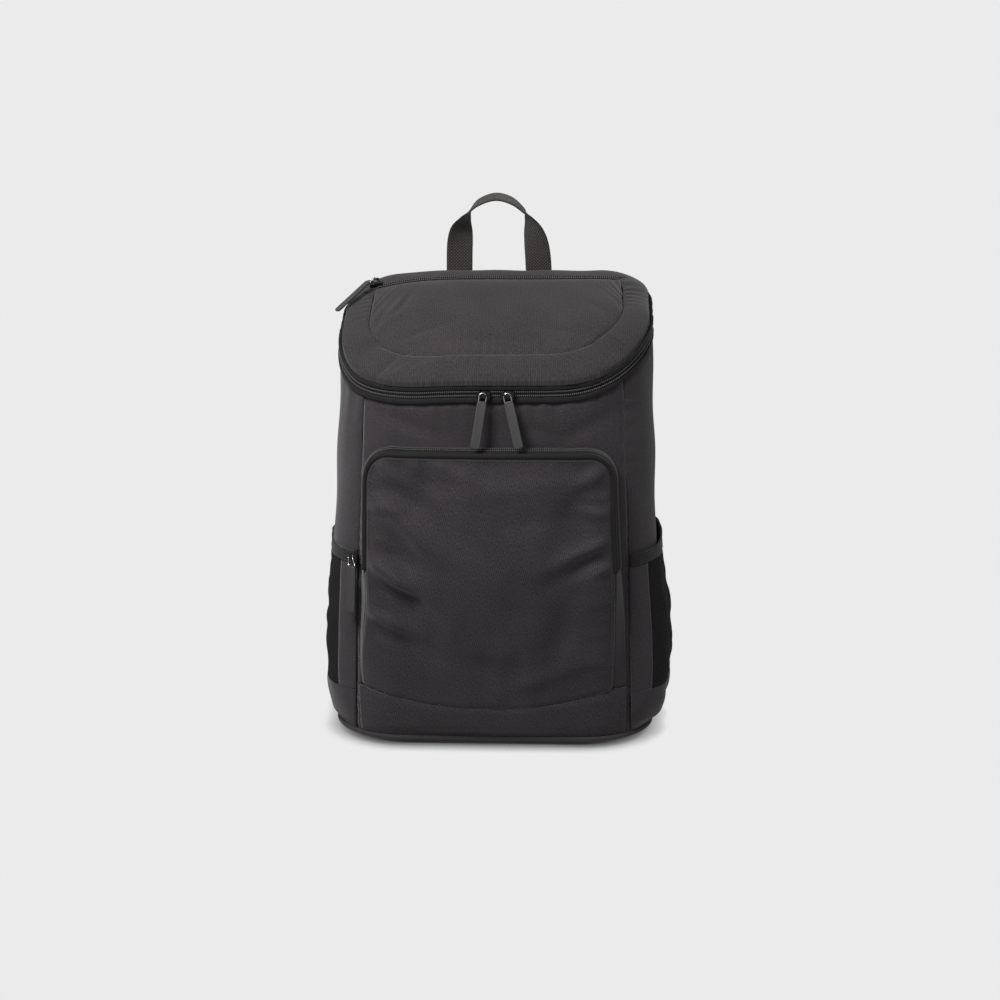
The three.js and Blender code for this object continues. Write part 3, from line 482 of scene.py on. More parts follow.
def on_side_pocket(side, u, z, thickness):
    q = lerp(seam_at(z) + SIDE_POCKET_START, SIDE_POCKET_END, u)
    across = np.sin(math.pi * np.clip(u, 0.004, 0.996)) ** 0.55
    full = SIDE_FULL[side] * column(SIDE_POCKET, 1, z / SIDE_POCKET_TOP)
    return plan(side * q, z, SEAM_GAP + full * across + thickness)


# Meshes

def normals_of(points, around=False):
    if around:
        wrapped = np.concatenate([points[-1:], points, points[:1]])
        du = (wrapped[2:] - wrapped[:-2]) / 2
    else:
        du = np.gradient(points, axis=0)
    dv = np.gradient(points, axis=1)
    normals = np.cross(du, dv)
    return normals / np.maximum(np.linalg.norm(normals, axis=-1, keepdims=True), 1e-9)


def placed(name, data):
    made = bpy.data.objects.new(name, data)
    bpy.context.scene.collection.objects.link(made)
    return made


def smooth_object(name, points, faces, uvs=None):
    mesh = bpy.data.meshes.new(name)
    mesh.from_pydata((points * MM).tolist(), [], faces)
    mesh.shade_smooth()
    if uvs is not None:
        layer = mesh.uv_layers.new(name="cloth")
        index = np.zeros(len(mesh.loops), int)
        mesh.loops.foreach_get("vertex_index", index)
        layer.data.foreach_set("uv", (uvs[index] * MM).ravel())
    return placed(name, mesh)


def finished(piece, look, *nodes):
    """Give a piece its material, attach it to the root body, and hide the imported nodes that it stands
    for.
    """
    piece.data.materials.clear()
    piece.data.materials.append(LOOKS[look])
    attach(piece, "root")
    if nodes:
        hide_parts(*nodes)


def lengths(points, axis):
    """Distance along the middle line of a grid."""
    middle = points[:, points.shape[1] // 2] if axis == 0 else points[points.shape[0] // 2]
    steps = np.linalg.norm(np.diff(middle, axis=0), axis=1)
    return np.concatenate([[0], np.cumsum(steps)])


def outward(points, normals, centre):
    side = np.sum(normals * (points - np.array(centre)), -1).mean()
    return normals if side > 0 else -normals


def shell(name, points, relief, thickness, centre=BODY_MIDDLE, flat_map=False):
    """A closed sheet: a grid of points, raised by a relief and thickened inwards."""
    rows, cols = points.shape[:2]
    raised = points + outward(points, normals_of(points), centre) * np.asarray(relief)[..., None]
    normals = outward(raised, normals_of(raised), centre)
    inner = raised - normals * thickness
    index = np.arange(rows * cols).reshape(rows, cols)
    under = index + rows * cols
    quads = np.stack([index[:-1, :-1], index[1:, :-1], index[1:, 1:], index[:-1, 1:]], -1).reshape(-1, 4)
    lower = quads[:, ::-1] + rows * cols
    rim = np.concatenate([index[0], index[1:, -1], index[-1, -2::-1], index[-2:0:-1, 0]])
    low = np.concatenate([under[0], under[1:, -1], under[-1, -2::-1], under[-2:0:-1, 0]])
    walls = np.stack([rim, np.roll(rim, -1), np.roll(low, -1), low], -1)
    faces = np.concatenate([quads, lower, walls])
    flip = np.sum(np.cross(raised[1, 0] - raised[0, 0], raised[0, 1] - raised[0, 0]) * normals[0, 0]) < 0
    if flip:
        faces = faces[:, ::-1]
    u, v = grid(lengths(points, 0), lengths(points, 1))
    if flat_map:
        u, v = points[..., 0], points[..., 1]
    uvs = np.stack([u, v], -1).reshape(-1, 2)
    verts = np.concatenate([raised.reshape(-1, 3), inner.reshape(-1, 3)])
    return smooth_object(name, verts, faces.tolist(), np.concatenate([uvs, uvs]))


def tube(name, rings, closed):
    """A skin over rings of points, closed into a loop or with an end cap each."""
    count, sides = rings.shape[:2]
    index = np.arange(count * sides).reshape(count, sides)
    nxt = np.roll(index, -1, axis=0) if closed else index[1:]
    here = index if closed else index[:-1]
    quads = np.stack([here, np.roll(here, -1, 1), np.roll(nxt, -1, 1), nxt], -1).reshape(-1, 4).tolist()
    if not closed:
        quads += [index[0][::-1].tolist(), index[-1].tolist()]
    along = np.concatenate([[0], np.cumsum(np.linalg.norm(np.diff(rings[:, 0], axis=0), axis=1))])
    round_steps = np.linalg.norm(np.roll(rings[0], -1, 0) - rings[0], axis=1)
    around = np.concatenate([[0], np.cumsum(round_steps)[:-1]])
    u, v = grid(along, around)
    piece = smooth_object(name, rings.reshape(-1, 3), quads, np.stack([v, u], -1).reshape(-1, 2))
    fix_normals(piece)
    return piece


def rings_round(at, side, out, wide, high, sides):
    """Rings of points about a path, each with its own two directions."""
    turn = np.arange(sides) * TAU / sides
    rings = at[:, None] + wide * np.cos(turn)[None, :, None] * side[:, None]
    return rings + high * np.sin(turn)[None, :, None] * out[:, None]


def unit(vectors):
    return vectors / np.linalg.norm(vectors, axis=1, keepdims=True)


def fix_normals(piece):
    work = bmesh.new()
    work.from_mesh(piece.data)
    bmesh.ops.recalc_face_normals(work, faces=work.faces)
    work.to_mesh(piece.data)
    work.free()


def frames_along(centre, beside, pitch):
    """Even stations on a path: place, along, across and out."""
    steps = np.linalg.norm(np.diff(centre, axis=0), axis=1)
    length = np.concatenate([[0], np.cumsum(steps)])
    stops = np.arange(pitch / 2, length[-1], pitch)
    pick = lambda p: np.stack([np.interp(stops, length, p[:, k]) for k in range(3)], -1)
    at, side = pick(centre), pick(beside)
    along = unit(np.gradient(at, axis=0))
    across = side - at
    across = unit(across - along * np.sum(along * across, 1, keepdims=True))
    return at, along, across, np.cross(along, across)


def beads(name, frames, spans, along_half, high):
    """Small rounded bars at each station, one for each span across."""
    at, along, across, out = frames
    sides = 6
    turn = (np.arange(sides) + 0.5) * TAU / sides
    ring = np.stack([np.cos(turn) * along_half, np.sin(turn) * high], -1)
    points, faces = [], []
    for k in range(len(at)):
        for low, high_end in spans:
            base = len(points) * sides
            for share, size in ((0, 0.5), (0.14, 1), (0.86, 1), (1, 0.5)):
                middle = at[k] + across[k] * lerp(low, high_end, share)
                points.append(middle + size * (ring[:, :1] * along[k] + ring[:, 1:] * out[k]))
            for j in range(3):
                here, there = base + j * sides, base + (j + 1) * sides
                for i in range(sides):
                    beside = (i + 1) % sides
                    faces.append([here + i, here + beside, there + beside, there + i])
            faces.append(list(range(base, base + sides))[::-1])
            faces.append(list(range(base + 3 * sides, base + 4 * sides)))
    piece = smooth_object(name, np.concatenate(points), faces)
    fix_normals(piece)
    return piece


def zip_teeth(name, centre, beside, lift, *nodes):
    frames = frames_along(centre, beside, TOOTH_PITCH)
    side = np.sign(np.sum(frames[3][len(centre) // 4] * (frames[0][len(centre) // 4] - BODY_MIDDLE)))
    at = frames[0] + frames[3] * (lift * side)
    half = COIL_WIDTH / 2
    spans = ((-half, TOOTH_LENGTH - half), (half - TOOTH_LENGTH, half))
    piece = beads(name, (at, *frames[1:]), spans, TOOTH_RADIUS, TOOTH_RADIUS)
    finished(piece, "coil", *nodes)


def stitches(name, line, beside, pitch=3.4, length=2.5, lift=0.15, thread=0.24):
    """A row of stitches along a line of points."""
    frames = frames_along(line, beside, pitch)
    at, along, across, out = frames
    side = np.sign(np.sum(out[len(at) // 2] * (at[len(at) // 2] - BODY_MIDDLE)))
    turned = (at + out * lift * side, across, along, out)
    piece = beads(name, turned, ((-length / 2, length / 2),), thread, thread)
    finished(piece, "thread")


# Materials

class Tree:
    """A short way to write a material's nodes."""

    def __init__(self, name, roughness, metallic=0.0):
        self.material = bpy.data.materials.new(name)
        self.material.use_nodes = True
        self.nodes = self.material.node_tree.nodes
        self.links = self.material.node_tree.links
        self.shader = self.nodes["Principled BSDF"]
        self.set("Roughness", roughness)
        self.set("Metallic", metallic)

    def node(self, kind, **inputs):
        made = self.nodes.new(kind)
        for key, value in inputs.items():
            socket = made.inputs[int(key[1:])] if key[0] == "i" and key[1:].isdigit() else made.inputs[key]
            self.put(socket, value)
        return made

    def put(self, socket, value):
        if isinstance(value, bpy.types.NodeSocket):
            self.links.new(value, socket)
        else:
            socket.default_value = value

    def math(self, operation, a, b=0.0):
        made = self.node("ShaderNodeMath", i0=a, i1=b)
        made.operation = operation
        return made.outputs[0]

    def set(self, name, value):
        self.shader.inputs[name].default_value = value

    def times(self, a, b):
        return self.math("MULTIPLY", a, b)

    def plus(self, a, b):
        return self.math("ADD", a, b)

    def wave(self, value, pitch):
        """A sine along a value in metres, its pitch in millimetres."""
        return self.math("SINE", self.times(value, TAU / (pitch * MM)))

    def split(self, vector):
        return self.node("ShaderNodeSeparateXYZ", Vector=vector).outputs

    def place(self):
        return self.node("ShaderNodeTexCoord").outputs["Object"]

    def noise(self, vector, scale, detail):
        made = self.node("ShaderNodeTexNoise", Vector=vector, Scale=scale, Detail=detail)
        return made.outputs[0]

    def colour(self, factor, dark, light):
        made = self.nodes.new("ShaderNodeMix")
        made.data_type = "RGBA"
        self.put(made.inputs[0], factor)
        self.put(made.inputs[6], (*dark, 1))
        self.put(made.inputs[7], (*light, 1))
        return made.outputs[2]

    def cloth_map(self):
        made = self.node("ShaderNodeUVMap")
        made.uv_map = "cloth"
        return made.outputs[0]

    def limited(self, value):
        return self.math("MINIMUM", self.math("MAXIMUM", value, 0.0), 1.0)

    def paint(self, factor, dark, light):
        self.put(self.shader.inputs["Base Color"], self.colour(factor, dark, light))

    def bump(self, height, distance):
        made = self.node("ShaderNodeBump", Distance=distance, Height=height)
        self.links.new(made.outputs[0], self.shader.inputs["Normal"])


def shade(rgb, share):
    return tuple(min(1.0, c * share) for c in rgb)


def woven(name, rgb, turn, fine, long, contrast, relief, roughness=0.8, sheen=0.2, rib=0.3):
    """Cloth of broken threads that run one way: their turn in degrees, their width and length in mm."""
    tree = Tree(name, roughness)
    tree.set("Sheen Weight", sheen)
    tree.set("Sheen Roughness", 0.5)
    tree.set("Specular IOR Level", 0.3)
    cloth = tree.cloth_map()
    spin = (0, 0, math.radians(turn))
    spun = tree.node("ShaderNodeMapping", Vector=cloth, Rotation=spin).outputs[0]
    size = (1 / (fine * MM), 1 / (long * MM), 1)
    threads = tree.noise(tree.node("ShaderNodeMapping", Vector=spun, Scale=size).outputs[0], 1.0, 1.0)
    split = tree.split(spun)
    ribs = tree.wave(split[0], 2 * fine)
    place = tree.place()
    patches = tree.noise(place, 26.0, 4.0)
    signal = tree.times(tree.math("SUBTRACT", threads, 0.5), 1.5)
    signal = tree.plus(signal, tree.times(ribs, rib * 0.5))
    signal = tree.plus(signal, tree.times(tree.math("SUBTRACT", patches, 0.5), 0.5))
    factor = tree.plus(signal, 0.5)
    factor = tree.limited(factor)
    dark, light = shade(rgb, 1 - contrast), shade(rgb, 1 + contrast)
    tree.paint(factor, dark, light)
    tree.bump(factor, relief * MM)
    return tree.material


def dotted(name, rgb, dot, pitch, relief):
    """Coarse webbing: rows of lighter dots, staggered, between dark threads."""
    tree = Tree(name, 0.85)
    tree.set("Sheen Weight", 0.15)
    cloth = tree.cloth_map()
    split = tree.split(cloth)
    cells = tree.times(tree.wave(split[0], pitch), tree.wave(split[1], pitch))
    grain = tree.noise(tree.place(), 800.0, 2.0)
    factor = tree.times(tree.math("SUBTRACT", cells, 0.35), 2.2)
    factor = tree.times(tree.math("MAXIMUM", factor, 0.0), tree.times(grain, 1.8))
    factor = tree.math("MINIMUM", factor, 1.0)
    tree.paint(factor, rgb, dot)
    tree.bump(tree.plus(cells, grain), relief * MM)
    return tree.material


def solid(name, rgb, roughness, metallic=0.0, grain=900.0, relief=0.03, coat=0.0, contrast=0.12):
    """Moulded rubber, plastic or metal with fine grain and a little wear."""
    tree = Tree(name, roughness, metallic)
    tree.set("Coat Weight", coat)
    place = tree.place()
    fine = tree.noise(place, grain, 3.0)
    broad = tree.noise(place, 90.0, 3.0)
    signal = tree.plus(tree.times(fine, 0.4), tree.times(broad, 0.6))
    dark, light = shade(rgb, 1 - contrast), shade(rgb, 1 + contrast)
    tree.paint(signal, dark, light)
    tree.bump(fine, relief * MM)
    return tree.material


def holed(name, thread, hole_shade, pitch):
    """Knitted mesh: rows of small holes, staggered, painted near black as the shade seen through them."""
    tree = Tree(name, 0.9)
    tree.set("Specular IOR Level", 0.15)
    cloth = tree.cloth_map()
    split = tree.split(cloth)
    u = tree.times(split[0], TAU / (pitch * MM))
    v = tree.times(split[1], TAU / (1.25 * pitch * MM))
    rising = tree.math("SINE", tree.plus(u, v))
    cells = tree.times(rising, tree.math("SINE", tree.math("SUBTRACT", u, v)))
    factor = tree.plus(tree.times(cells, 0.8), 0.45)
    factor = tree.limited(factor)
    tree.paint(factor, hole_shade, thread)
    tree.bump(factor, 0.35 * MM)
    return tree.material


def plain_weave(name, rgb, pitch, relief):
    """A weave in the object's own coordinates, for pieces without a cloth map."""
    tree = Tree(name, 0.9)
    place = tree.place()
    split = tree.split(place)
    weave = tree.times(tree.wave(split[0], pitch), tree.wave(split[2], pitch))
    grain = tree.noise(place, 700.0, 2.0)
    signal = tree.plus(tree.times(weave, 0.3), grain)
    tree.paint(signal, shade(rgb, 0.65), shade(rgb, 1.35))
    tree.bump(signal, relief * MM)
    return tree.material


BODY_TONE = (0.035, 0.0297, 0.0338)
# The front pocket's tone is the body cloth painted darker: painted shade for the dimmer light low on the
# bag.
POCKET_SHADED_TONE = (0.0305, 0.026, 0.0297)
# The lid's tone is the body cloth painted darker: painted shade that offsets the brighter light on the
# lid's top.
LID_SHADED_TONE = (0.0305, 0.0264, 0.0285)
TAPE_TONE = (0.0065, 0.0062, 0.0065)
BINDING_TONE = (0.0085, 0.0082, 0.0084)
LOOKS = {
    "body": woven("body_cloth", BODY_TONE, 38, 0.85, 2.0, 0.65, 0.13),
    "lid": woven("lid_cloth", LID_SHADED_TONE, 0, 1.0, 2.4, 0.65, 0.13),
    "pocket": woven("pocket_cloth", POCKET_SHADED_TONE, 14, 0.9, 2.2, 0.75, 0.15),
    "tape": woven("tape_cloth", TAPE_TONE, 45, 0.8, 0.8, 0.4, 0.15, sheen=0.08),
    "binding": woven("binding_cloth", BINDING_TONE, 45, 0.8, 0.8, 0.3, 0.12, sheen=0.08),
    "elastic": woven("elastic_cloth", BINDING_TONE, 90, 1.1, 14.0, 0.5, 0.5, rib=1.0),
    "webbing": dotted("webbing_cloth", (0.02, 0.017, 0.0155), (0.115, 0.102, 0.095), 3.0, 0.3),
    "padding": woven("padding_cloth", BODY_TONE, 38, 0.9, 2.6, 0.5, 0.12),
    # The mesh's hole colour is painted shade.
    "mesh": holed("mesh_cloth", (0.034, 0.032, 0.033), (0.005, 0.005, 0.005), 3.2),
    "coil": solid("coil_nylon", (0.14, 0.133, 0.13), 0.4),
    "thread": solid("thread", (0.05, 0.046, 0.048), 0.8),
    "piping": woven("piping_cloth", BODY_TONE, 45, 0.8, 0.8, 0.3, 0.1),
    "slider": solid("slider_paint", (0.012, 0.012, 0.012), 0.3, metallic=0.5, coat=0.3),
    "wire": solid("wire_metal", (0.55, 0.53, 0.51), 0.25, metallic=1.0, relief=0.01),
    "rubber": solid("tab_rubber", (0.05, 0.0495, 0.0495), 0.5, relief=0.05),
    "plastic": solid("lock_plastic", (0.022, 0.022, 0.022), 0.4),
    "webbing_plain": plain_weave("strap_webbing_cloth", (0.05, 0.043, 0.038), 2.2, 0.3),
    "anchor": plain_weave("anchor_cloth", BODY_TONE, 2.2, 0.2),
    "foam": plain_weave("foam_sheet", BODY_TONE, 4.0, 0.2),
}


# Body

def seam_roll(away, depth=0.7, reach=1.5):
    """Cloth that turns in at a seam."""
    return -depth * np.exp(-(away / reach) ** 2)


def wall(name, low_q, high_q, top, columns, relief):
    """A wall panel from over the base up to the zip."""
    z_low = BASE_THICKNESS + SEAM_GAP
    u, v = grid(np.linspace(0, 1, columns), np.linspace(0, 1, 130))
    q_rim = lerp(low_q(RIM_FRONT), high_q(RIM_FRONT), u)
    z = lerp(z_low, on_rim(q_rim, top, 0.0)[..., 2], v)
    q = lerp(low_q(z), high_q(z), u)
    points = plan(q, z)
    piece = shell(f"{name}_cloth", points, relief(q, z, points), WALL)
    finished(piece, "body", name)


def front_relief(q, z, points):
    x = points[..., 0]
    edge = np.minimum(seam_half(z) - np.abs(x), 60)
    top = np.maximum(rim_at(x, points[..., 1]) - ZIP_HALF - z, 0)
    relief = 0.5 * swell(x, z, 70, 3)
    relief += 0.9 * pucker(x, top, 19, 16, 5) + 0.5 * pucker(z, edge, 14, 7, 8)
    relief += 2.2 * folds(FRONT_CREASES, x, z)
    return relief + seam_roll(edge) + seam_roll(top, 1.5, 3)


def side_relief(side):
    def relief(q, z, points):
        y = points[..., 1]
        edge = np.minimum(np.abs(np.abs(q) - seam_at(z)), np.abs(BACK_SEAM - np.abs(q))) * 70
        top = np.maximum(rim_at(points[..., 0], y) - ZIP_HALF - z, 0)
        lift = 0.8 * swell(y, z, 90, 11 + side) + 0.7 * pucker(y, top, 22, 22, 15 + side)
        lift += 0.45 * pucker(z, edge, 15, 8, 19 + side)
        return lift + seam_roll(edge) + seam_roll(top, 1.5, 3)
    return relief


def make_body():
    flat = lambda value: (lambda z: value + 0 * np.asarray(z, float))
    under = -ZIP_HALF + SEAM_OVERLAP
    wall("front_panel", lambda z: -seam_at(z), seam_at, under, 150, front_relief)
    for name, side in (("side_panel_left", -1), ("side_panel_right", 1)):
        start = lambda z, side=side: side * seam_at(z)
        wall(name, start, flat(side * BACK_SEAM), under, 110, side_relief(side))
    back = lambda q, z, points: 0.5 * swell(points[..., 0], z, 80, 23)
    wall("back_panel", flat(BACK_SEAM), flat(2 * PLAN_END - BACK_SEAM), ZIP_HALF, 90, back)
    make_base()


def make_base():
    q = np.linspace(-PLAN_END, PLAN_END, 241)[:-1]
    middle = BASE_THICKNESS + PIPING_RADIUS
    at = plan(q, middle + PIPING_RADIUS, PIPING_RADIUS + SEAM_GAP)
    at[:, 2] = middle
    side = plan(q, middle, 1.0) - plan(q, middle, 0.0)
    upright = np.tile([0, 0, 1.0], (len(q), 1))
    rings = rings_round(at, side, upright, PIPING_RADIUS, PIPING_RADIUS, 12)
    finished(tube("base_piping_cord", rings, True), "piping", "base_piping")
    rows = [plan(q, share * BASE_THICKNESS) * np.array([r, r, 1]) for r, share in BASE_EDGE]
    finished(tube("base_tub", np.stack(rows), False), "body", "base_panel")


# Main zip

def rounded_strip(place, q, low, high, lift, thickness, rows=9):
    """Points of a strip with rounded edges between two heights over its line."""
    v = np.linspace(-1, 1, rows)
    grid_q, grid_v = grid(q, v)
    arch = thickness * (1 - np.abs(grid_v) ** 4) ** 0.5
    return place(grid_q, lerp(low, high, (grid_v + 1) / 2), lift + arch)


def make_main_zip():
    end = BACK_SEAM - PANEL_GAP
    q = np.linspace(-end, end, 420)
    grid_q, grid_v = grid(q, np.linspace(-ZIP_HALF, ZIP_HALF, 7))
    tape = shell("main_zip_tape_cloth", on_rim(grid_q, grid_v, 0.0), 0 * grid_q, THIN_CLOTH)
    finished(tape, "tape", "main_zip_tape")
    zip_teeth("main_zip_teeth", on_rim(q, 0.0, 0.0), on_rim(q, 1.0, 0.0), 0.85, "main_zip_coil")
    edge = ZIP_HALF - BINDING_WIDTH
    for name, low, high in (("lower", -ZIP_HALF, -edge), ("upper", edge, ZIP_HALF)):
        points = rounded_strip(on_rim, q, low, high, 0.2, BINDING_RISE)
        ripple = 0.25 * swell(grid_q[:, :1] * 100, 0 * grid_q[:, :1], 25, 31)
        strip = shell(f"main_zip_binding_{name}_cloth", points, ripple + 0 * points[..., 0], THIN_CLOTH)
        finished(strip, "binding", f"main_zip_binding_{name}")


# Lid

def band_points(q, inner):
    """Rows from an inner share to the lid's edge and down round it."""
    shares = np.concatenate([np.linspace(0, 1, 26), np.ones(5)])
    down = np.concatenate([np.zeros(26), -LID_EDGE * np.array([0.1, 0.3, 0.55, 0.8, 1.0])])
    grid_q, grid_t = grid(q, shares)
    start = inner(grid_q)
    points = on_lid(grid_q, lerp(start, 1.0, grid_t))
    points[..., 2] += down[None, :]
    roll = np.concatenate([np.zeros(22), [0.1, 0.35, 0.9, 1.8], np.full(5, 1.2)])
    points[..., :2] *= (1 - roll[None, :, None] * 0.004)
    return points, grid_q, grid_t, start


def make_lid():
    q = np.linspace(-BAND_END, BAND_END, 320)
    points, grid_q, grid_t, start = band_points(q, lid_seam_share)
    x, y = points[..., 0], points[..., 1]
    seam_line = on_lid(grid_q, start)
    from_seam = np.linalg.norm((points - seam_line)[..., :2], axis=-1)
    along = grid_q * 75
    relief = 0.45 * swell(x, y, 55, 41) * grid_t * (1 - grid_t) * 4
    relief += 1.0 * pucker(along, from_seam, 17, 9, 43) * smoothstep(from_seam, 0, 5)
    relief += seam_roll(from_seam, 0.9, 1.8)
    relief += 2.4 * folds(LID_CREASES, x, y)
    band = shell("lid_band_cloth", points, relief, LID_CLOTH, centre=LID_OVER, flat_map=True)
    finished(band, "lid", "lid_band")

    back_q = np.linspace(BAND_END + PANEL_GAP, 2 * PLAN_END - BAND_END - PANEL_GAP, 160)
    strip_share = lambda g: depth_share(g, LID_ZIP_BACK, 0.94)
    points = band_points(back_q, strip_share)[0]
    relief = 0.3 * swell(points[..., 0], points[..., 1], 40, 47)
    strip = shell("lid_back_cloth", points, relief, LID_CLOTH, centre=LID_OVER, flat_map=True)
    finished(strip, "lid", "lid_back_strip")
    make_lid_pocket()
    make_lid_zip()


def make_lid_pocket():
    """The raised panel on the lid, as a patch between its seam and its zip."""
    stop = 2.75
    q = np.linspace(-stop, stop, 260)
    share = np.minimum(lid_seam_share(q), depth_share(q, LID_ZIP_FRONT, 1.0)) - 0.001
    front = on_lid(q, share)[:, :2]
    left, right = front[0], front[-1]
    u = np.linspace(0, 1, len(q))[:, None, None]
    v = spread(0, 1, 110, 0.5)[None, :, None]
    back_left = np.array([left[0] * 0.985, LID_ZIP_FRONT])
    back_right = np.array([right[0] * 0.985, LID_ZIP_FRONT])
    back = lerp(back_left, back_right, u)
    sides = lerp(lerp(left, back_left, v), lerp(right, back_right, v), u)
    corners = lerp(lerp(left, right, u), lerp(back_left, back_right, u), v)
    flat = lerp(front[:, None], back, v) + sides - corners
    x, y = flat[..., 0], flat[..., 1]
    rise = (1 - (2 * u[..., 0] - 1) ** 8) * (1 - (1 - v[..., 0]) ** 6) * (1 - v[..., 0] ** 8)
    points = np.stack([x, y, lid_height(x, y, LID_POCKET_LIFT * rise)], -1)
    from_front = np.linalg.norm(flat - front[:, None], axis=-1)
    edge = np.minimum(from_front, np.abs(np.abs(x) - np.abs(left[0])))
    relief = 0.5 * swell(x, y, 60, 53) * rise
    relief += 0.9 * pucker(q[:, None] * 70, edge, 15, 10, 57) * smoothstep(edge, 0, 5)
    relief += 1.8 * folds(LID_PANEL_CREASES, x, y)
    relief += seam_roll(edge, 0.9, 1.8)
    piece = shell("lid_pocket_cloth", points, relief, CLOTH, centre=LID_OVER, flat_map=True)
    finished(piece, "lid", "lid_pocket_panel")


def make_lid_zip():
    q = np.linspace(BAND_END - 0.15, 2 * PLAN_END - BAND_END + 0.15, 200)
    v = np.linspace(0, 1, 5)
    grid_q, grid_v = grid(q, v)
    depth = lerp(LID_ZIP_FRONT - 2.5, LID_ZIP_BACK + 2.5, grid_v)
    points = on_lid(grid_q, depth_share(grid_q, depth, 0.97), -0.5)
    tape = shell("lid_zip_tape_cloth", points, 0 * grid_q, THIN_CLOTH, centre=LID_OVER)
    finished(tape, "tape", "lid_zip_tape")
    middle = (LID_ZIP_FRONT + LID_ZIP_BACK) / 2
    teeth_q = np.linspace(BAND_END + 0.02, 2 * PLAN_END - BAND_END - 0.02, 400)
    centre = on_lid(teeth_q, depth_share(teeth_q, middle, 0.97))
    beside = on_lid(teeth_q, depth_share(teeth_q, middle + 1, 0.975))
    zip_teeth("lid_zip_teeth", centre, beside, 0.4, "lid_zip_coil")


# Front pocket

def make_front_pocket():
    s = np.linspace(-POCKET_ZIP_STOP, POCKET_ZIP_STOP, 420)
    grid_s, grid_v = grid(s, np.linspace(0, 1, 9))
    ripple = 0.2 * swell(grid_s * 110, grid_v * 10, 30, 61)
    points = on_gusset(grid_s, grid_v, 0.0)
    tape = shell("front_pocket_tape_cloth", points, ripple, THIN_CLOTH, centre=POCKET_MIDDLE)
    finished(tape, "tape", "front_pocket_zip_tape")
    pocket_binding(s)
    centre = on_gusset(s, POCKET_COIL_AT, 0.9)
    beside = on_gusset(s, POCKET_COIL_AT + 0.05, 0.9)
    zip_teeth("front_pocket_teeth", centre, beside, 0.0, "front_pocket_coil")
    start = POCKET_ZIP_STOP + PANEL_GAP
    for name, low, high in (("left", -3, -start), ("right", start, 3)):
        grid_s, grid_v = grid(np.linspace(low, high, 80), np.linspace(0, 1, 12))
        ripple = 0.5 * swell(grid_s * 100, grid_v * 20, 30, 63 + len(name))
        points = on_gusset(grid_s, grid_v, 0.0)
        node = f"front_pocket_gusset_{name}"
        gusset = shell(f"{node}_cloth", points, ripple, GUSSET_CLOTH, centre=POCKET_MIDDLE)
        finished(gusset, "pocket", node)
    make_pocket_face()


def pocket_binding(s):
    """The zip's smooth edge that frames the pocket's face."""
    x, z = pocket_edge(s, splay(s) - 0.4)
    at = on_front(x, z, pocket_edge_depth(z) - 1.2)
    inner_x, inner_z = pocket_edge(s, splay(s) + 1)
    side = unit(on_front(inner_x, inner_z, pocket_edge_depth(z) - 1.2) - at)
    out = unit(on_front(x, z, pocket_edge_depth(z)) - at)
    rings = rings_round(at, side, out, *POCKET_BINDING, 14)
    finished(tube("front_pocket_binding", rings, False), "binding")


def seam_dip(u, s):
    return POCKET_DIP * (1 - u * u) * smoothstep(s, 2.2, 3)


def make_pocket_face():
    s = np.concatenate([np.linspace(3, 2, 110)[:-1], np.linspace(2, 1, 34)])
    u, grid_s = grid(spread(-1, 1, 150, 0.35), s)
    edge_s = np.where(u < 0, -grid_s, grid_s)
    x, z = pocket_edge(edge_s, lerp(splay(grid_s), splay(edge_s), np.abs(u)))
    z = z - seam_dip(u, grid_s)
    points = on_front(np.abs(u) * x, z, pocket_face_depth(u, z))
    across = points[..., 0]
    side = np.abs(x) * (1 - np.abs(u))
    top = np.maximum(POCKET_TOP - POCKET_SPLAY_TOP - z, 0)
    edge = np.minimum(side, top)
    relief = 0.6 * swell(across, z, 80, 71) + 0.35 * swell(across, z, 34, 73)
    relief += CREASE_DEPTH * folds(FACE_CREASES, across, z)
    relief += 0.9 * pucker(z, side, 16, 12, 77) + 0.8 * pucker(across, top, 18, 12, 79)
    relief *= smoothstep(edge, 0, 10)
    low = z - (POCKET_GUSSET_END - POCKET_DIP * (1 - u * u))
    relief += seam_roll(edge, 1.6, 2.4) + seam_roll(low, 1.2, 2.6)
    face = shell("front_pocket_face", points, relief, CLOTH, centre=POCKET_MIDDLE)
    finished(face, "pocket", "front_pocket_panel")
    make_pocket_band()
    pocket_stitches()


def make_pocket_band():
    half = float(pocket_edge(np.array(3.0), 1.0)[0])
    u, v = grid(spread(-1, 1, 120, 0.3), np.linspace(0, 1, 40))
    ends = np.array([-3.0, 3.0])
    face_half = np.abs(pocket_edge(ends, splay(ends))[0])
    share = np.clip(np.abs(u) * half / np.where(u < 0, *face_half), 0, 1)
    z = lerp(OVER_PIPING, POCKET_GUSSET_END - POCKET_DIP * (1 - share * share) - SEAM_GAP, v)
    points = on_front(u * half, z, pocket_face_depth(share, z) + SEAM_GAP)
    relief = 0.4 * swell(points[..., 0], z, 60, 83) + seam_roll((1 - v) * 30, 1.2, 2.6)
    band = shell("front_pocket_band", points, relief, CLOTH, centre=POCKET_MIDDLE)
    finished(band, "pocket", "front_pocket_lower_band")


def pocket_stitches():
    s = np.linspace(-2.98, 2.98, 500)
    def line(inset):
        x, z = pocket_edge(s, splay(s) + inset)
        u = np.clip(x / np.maximum(np.abs(pocket_edge(s, splay(s))[0]), 1), -1, 1)
        return on_front(x, z, pocket_face_depth(np.where(np.abs(s) > 1, np.abs(u), 0.99), z) + 0.2)
    stitches("front_pocket_stitches", line(3.4), line(2.4))


# Side pockets

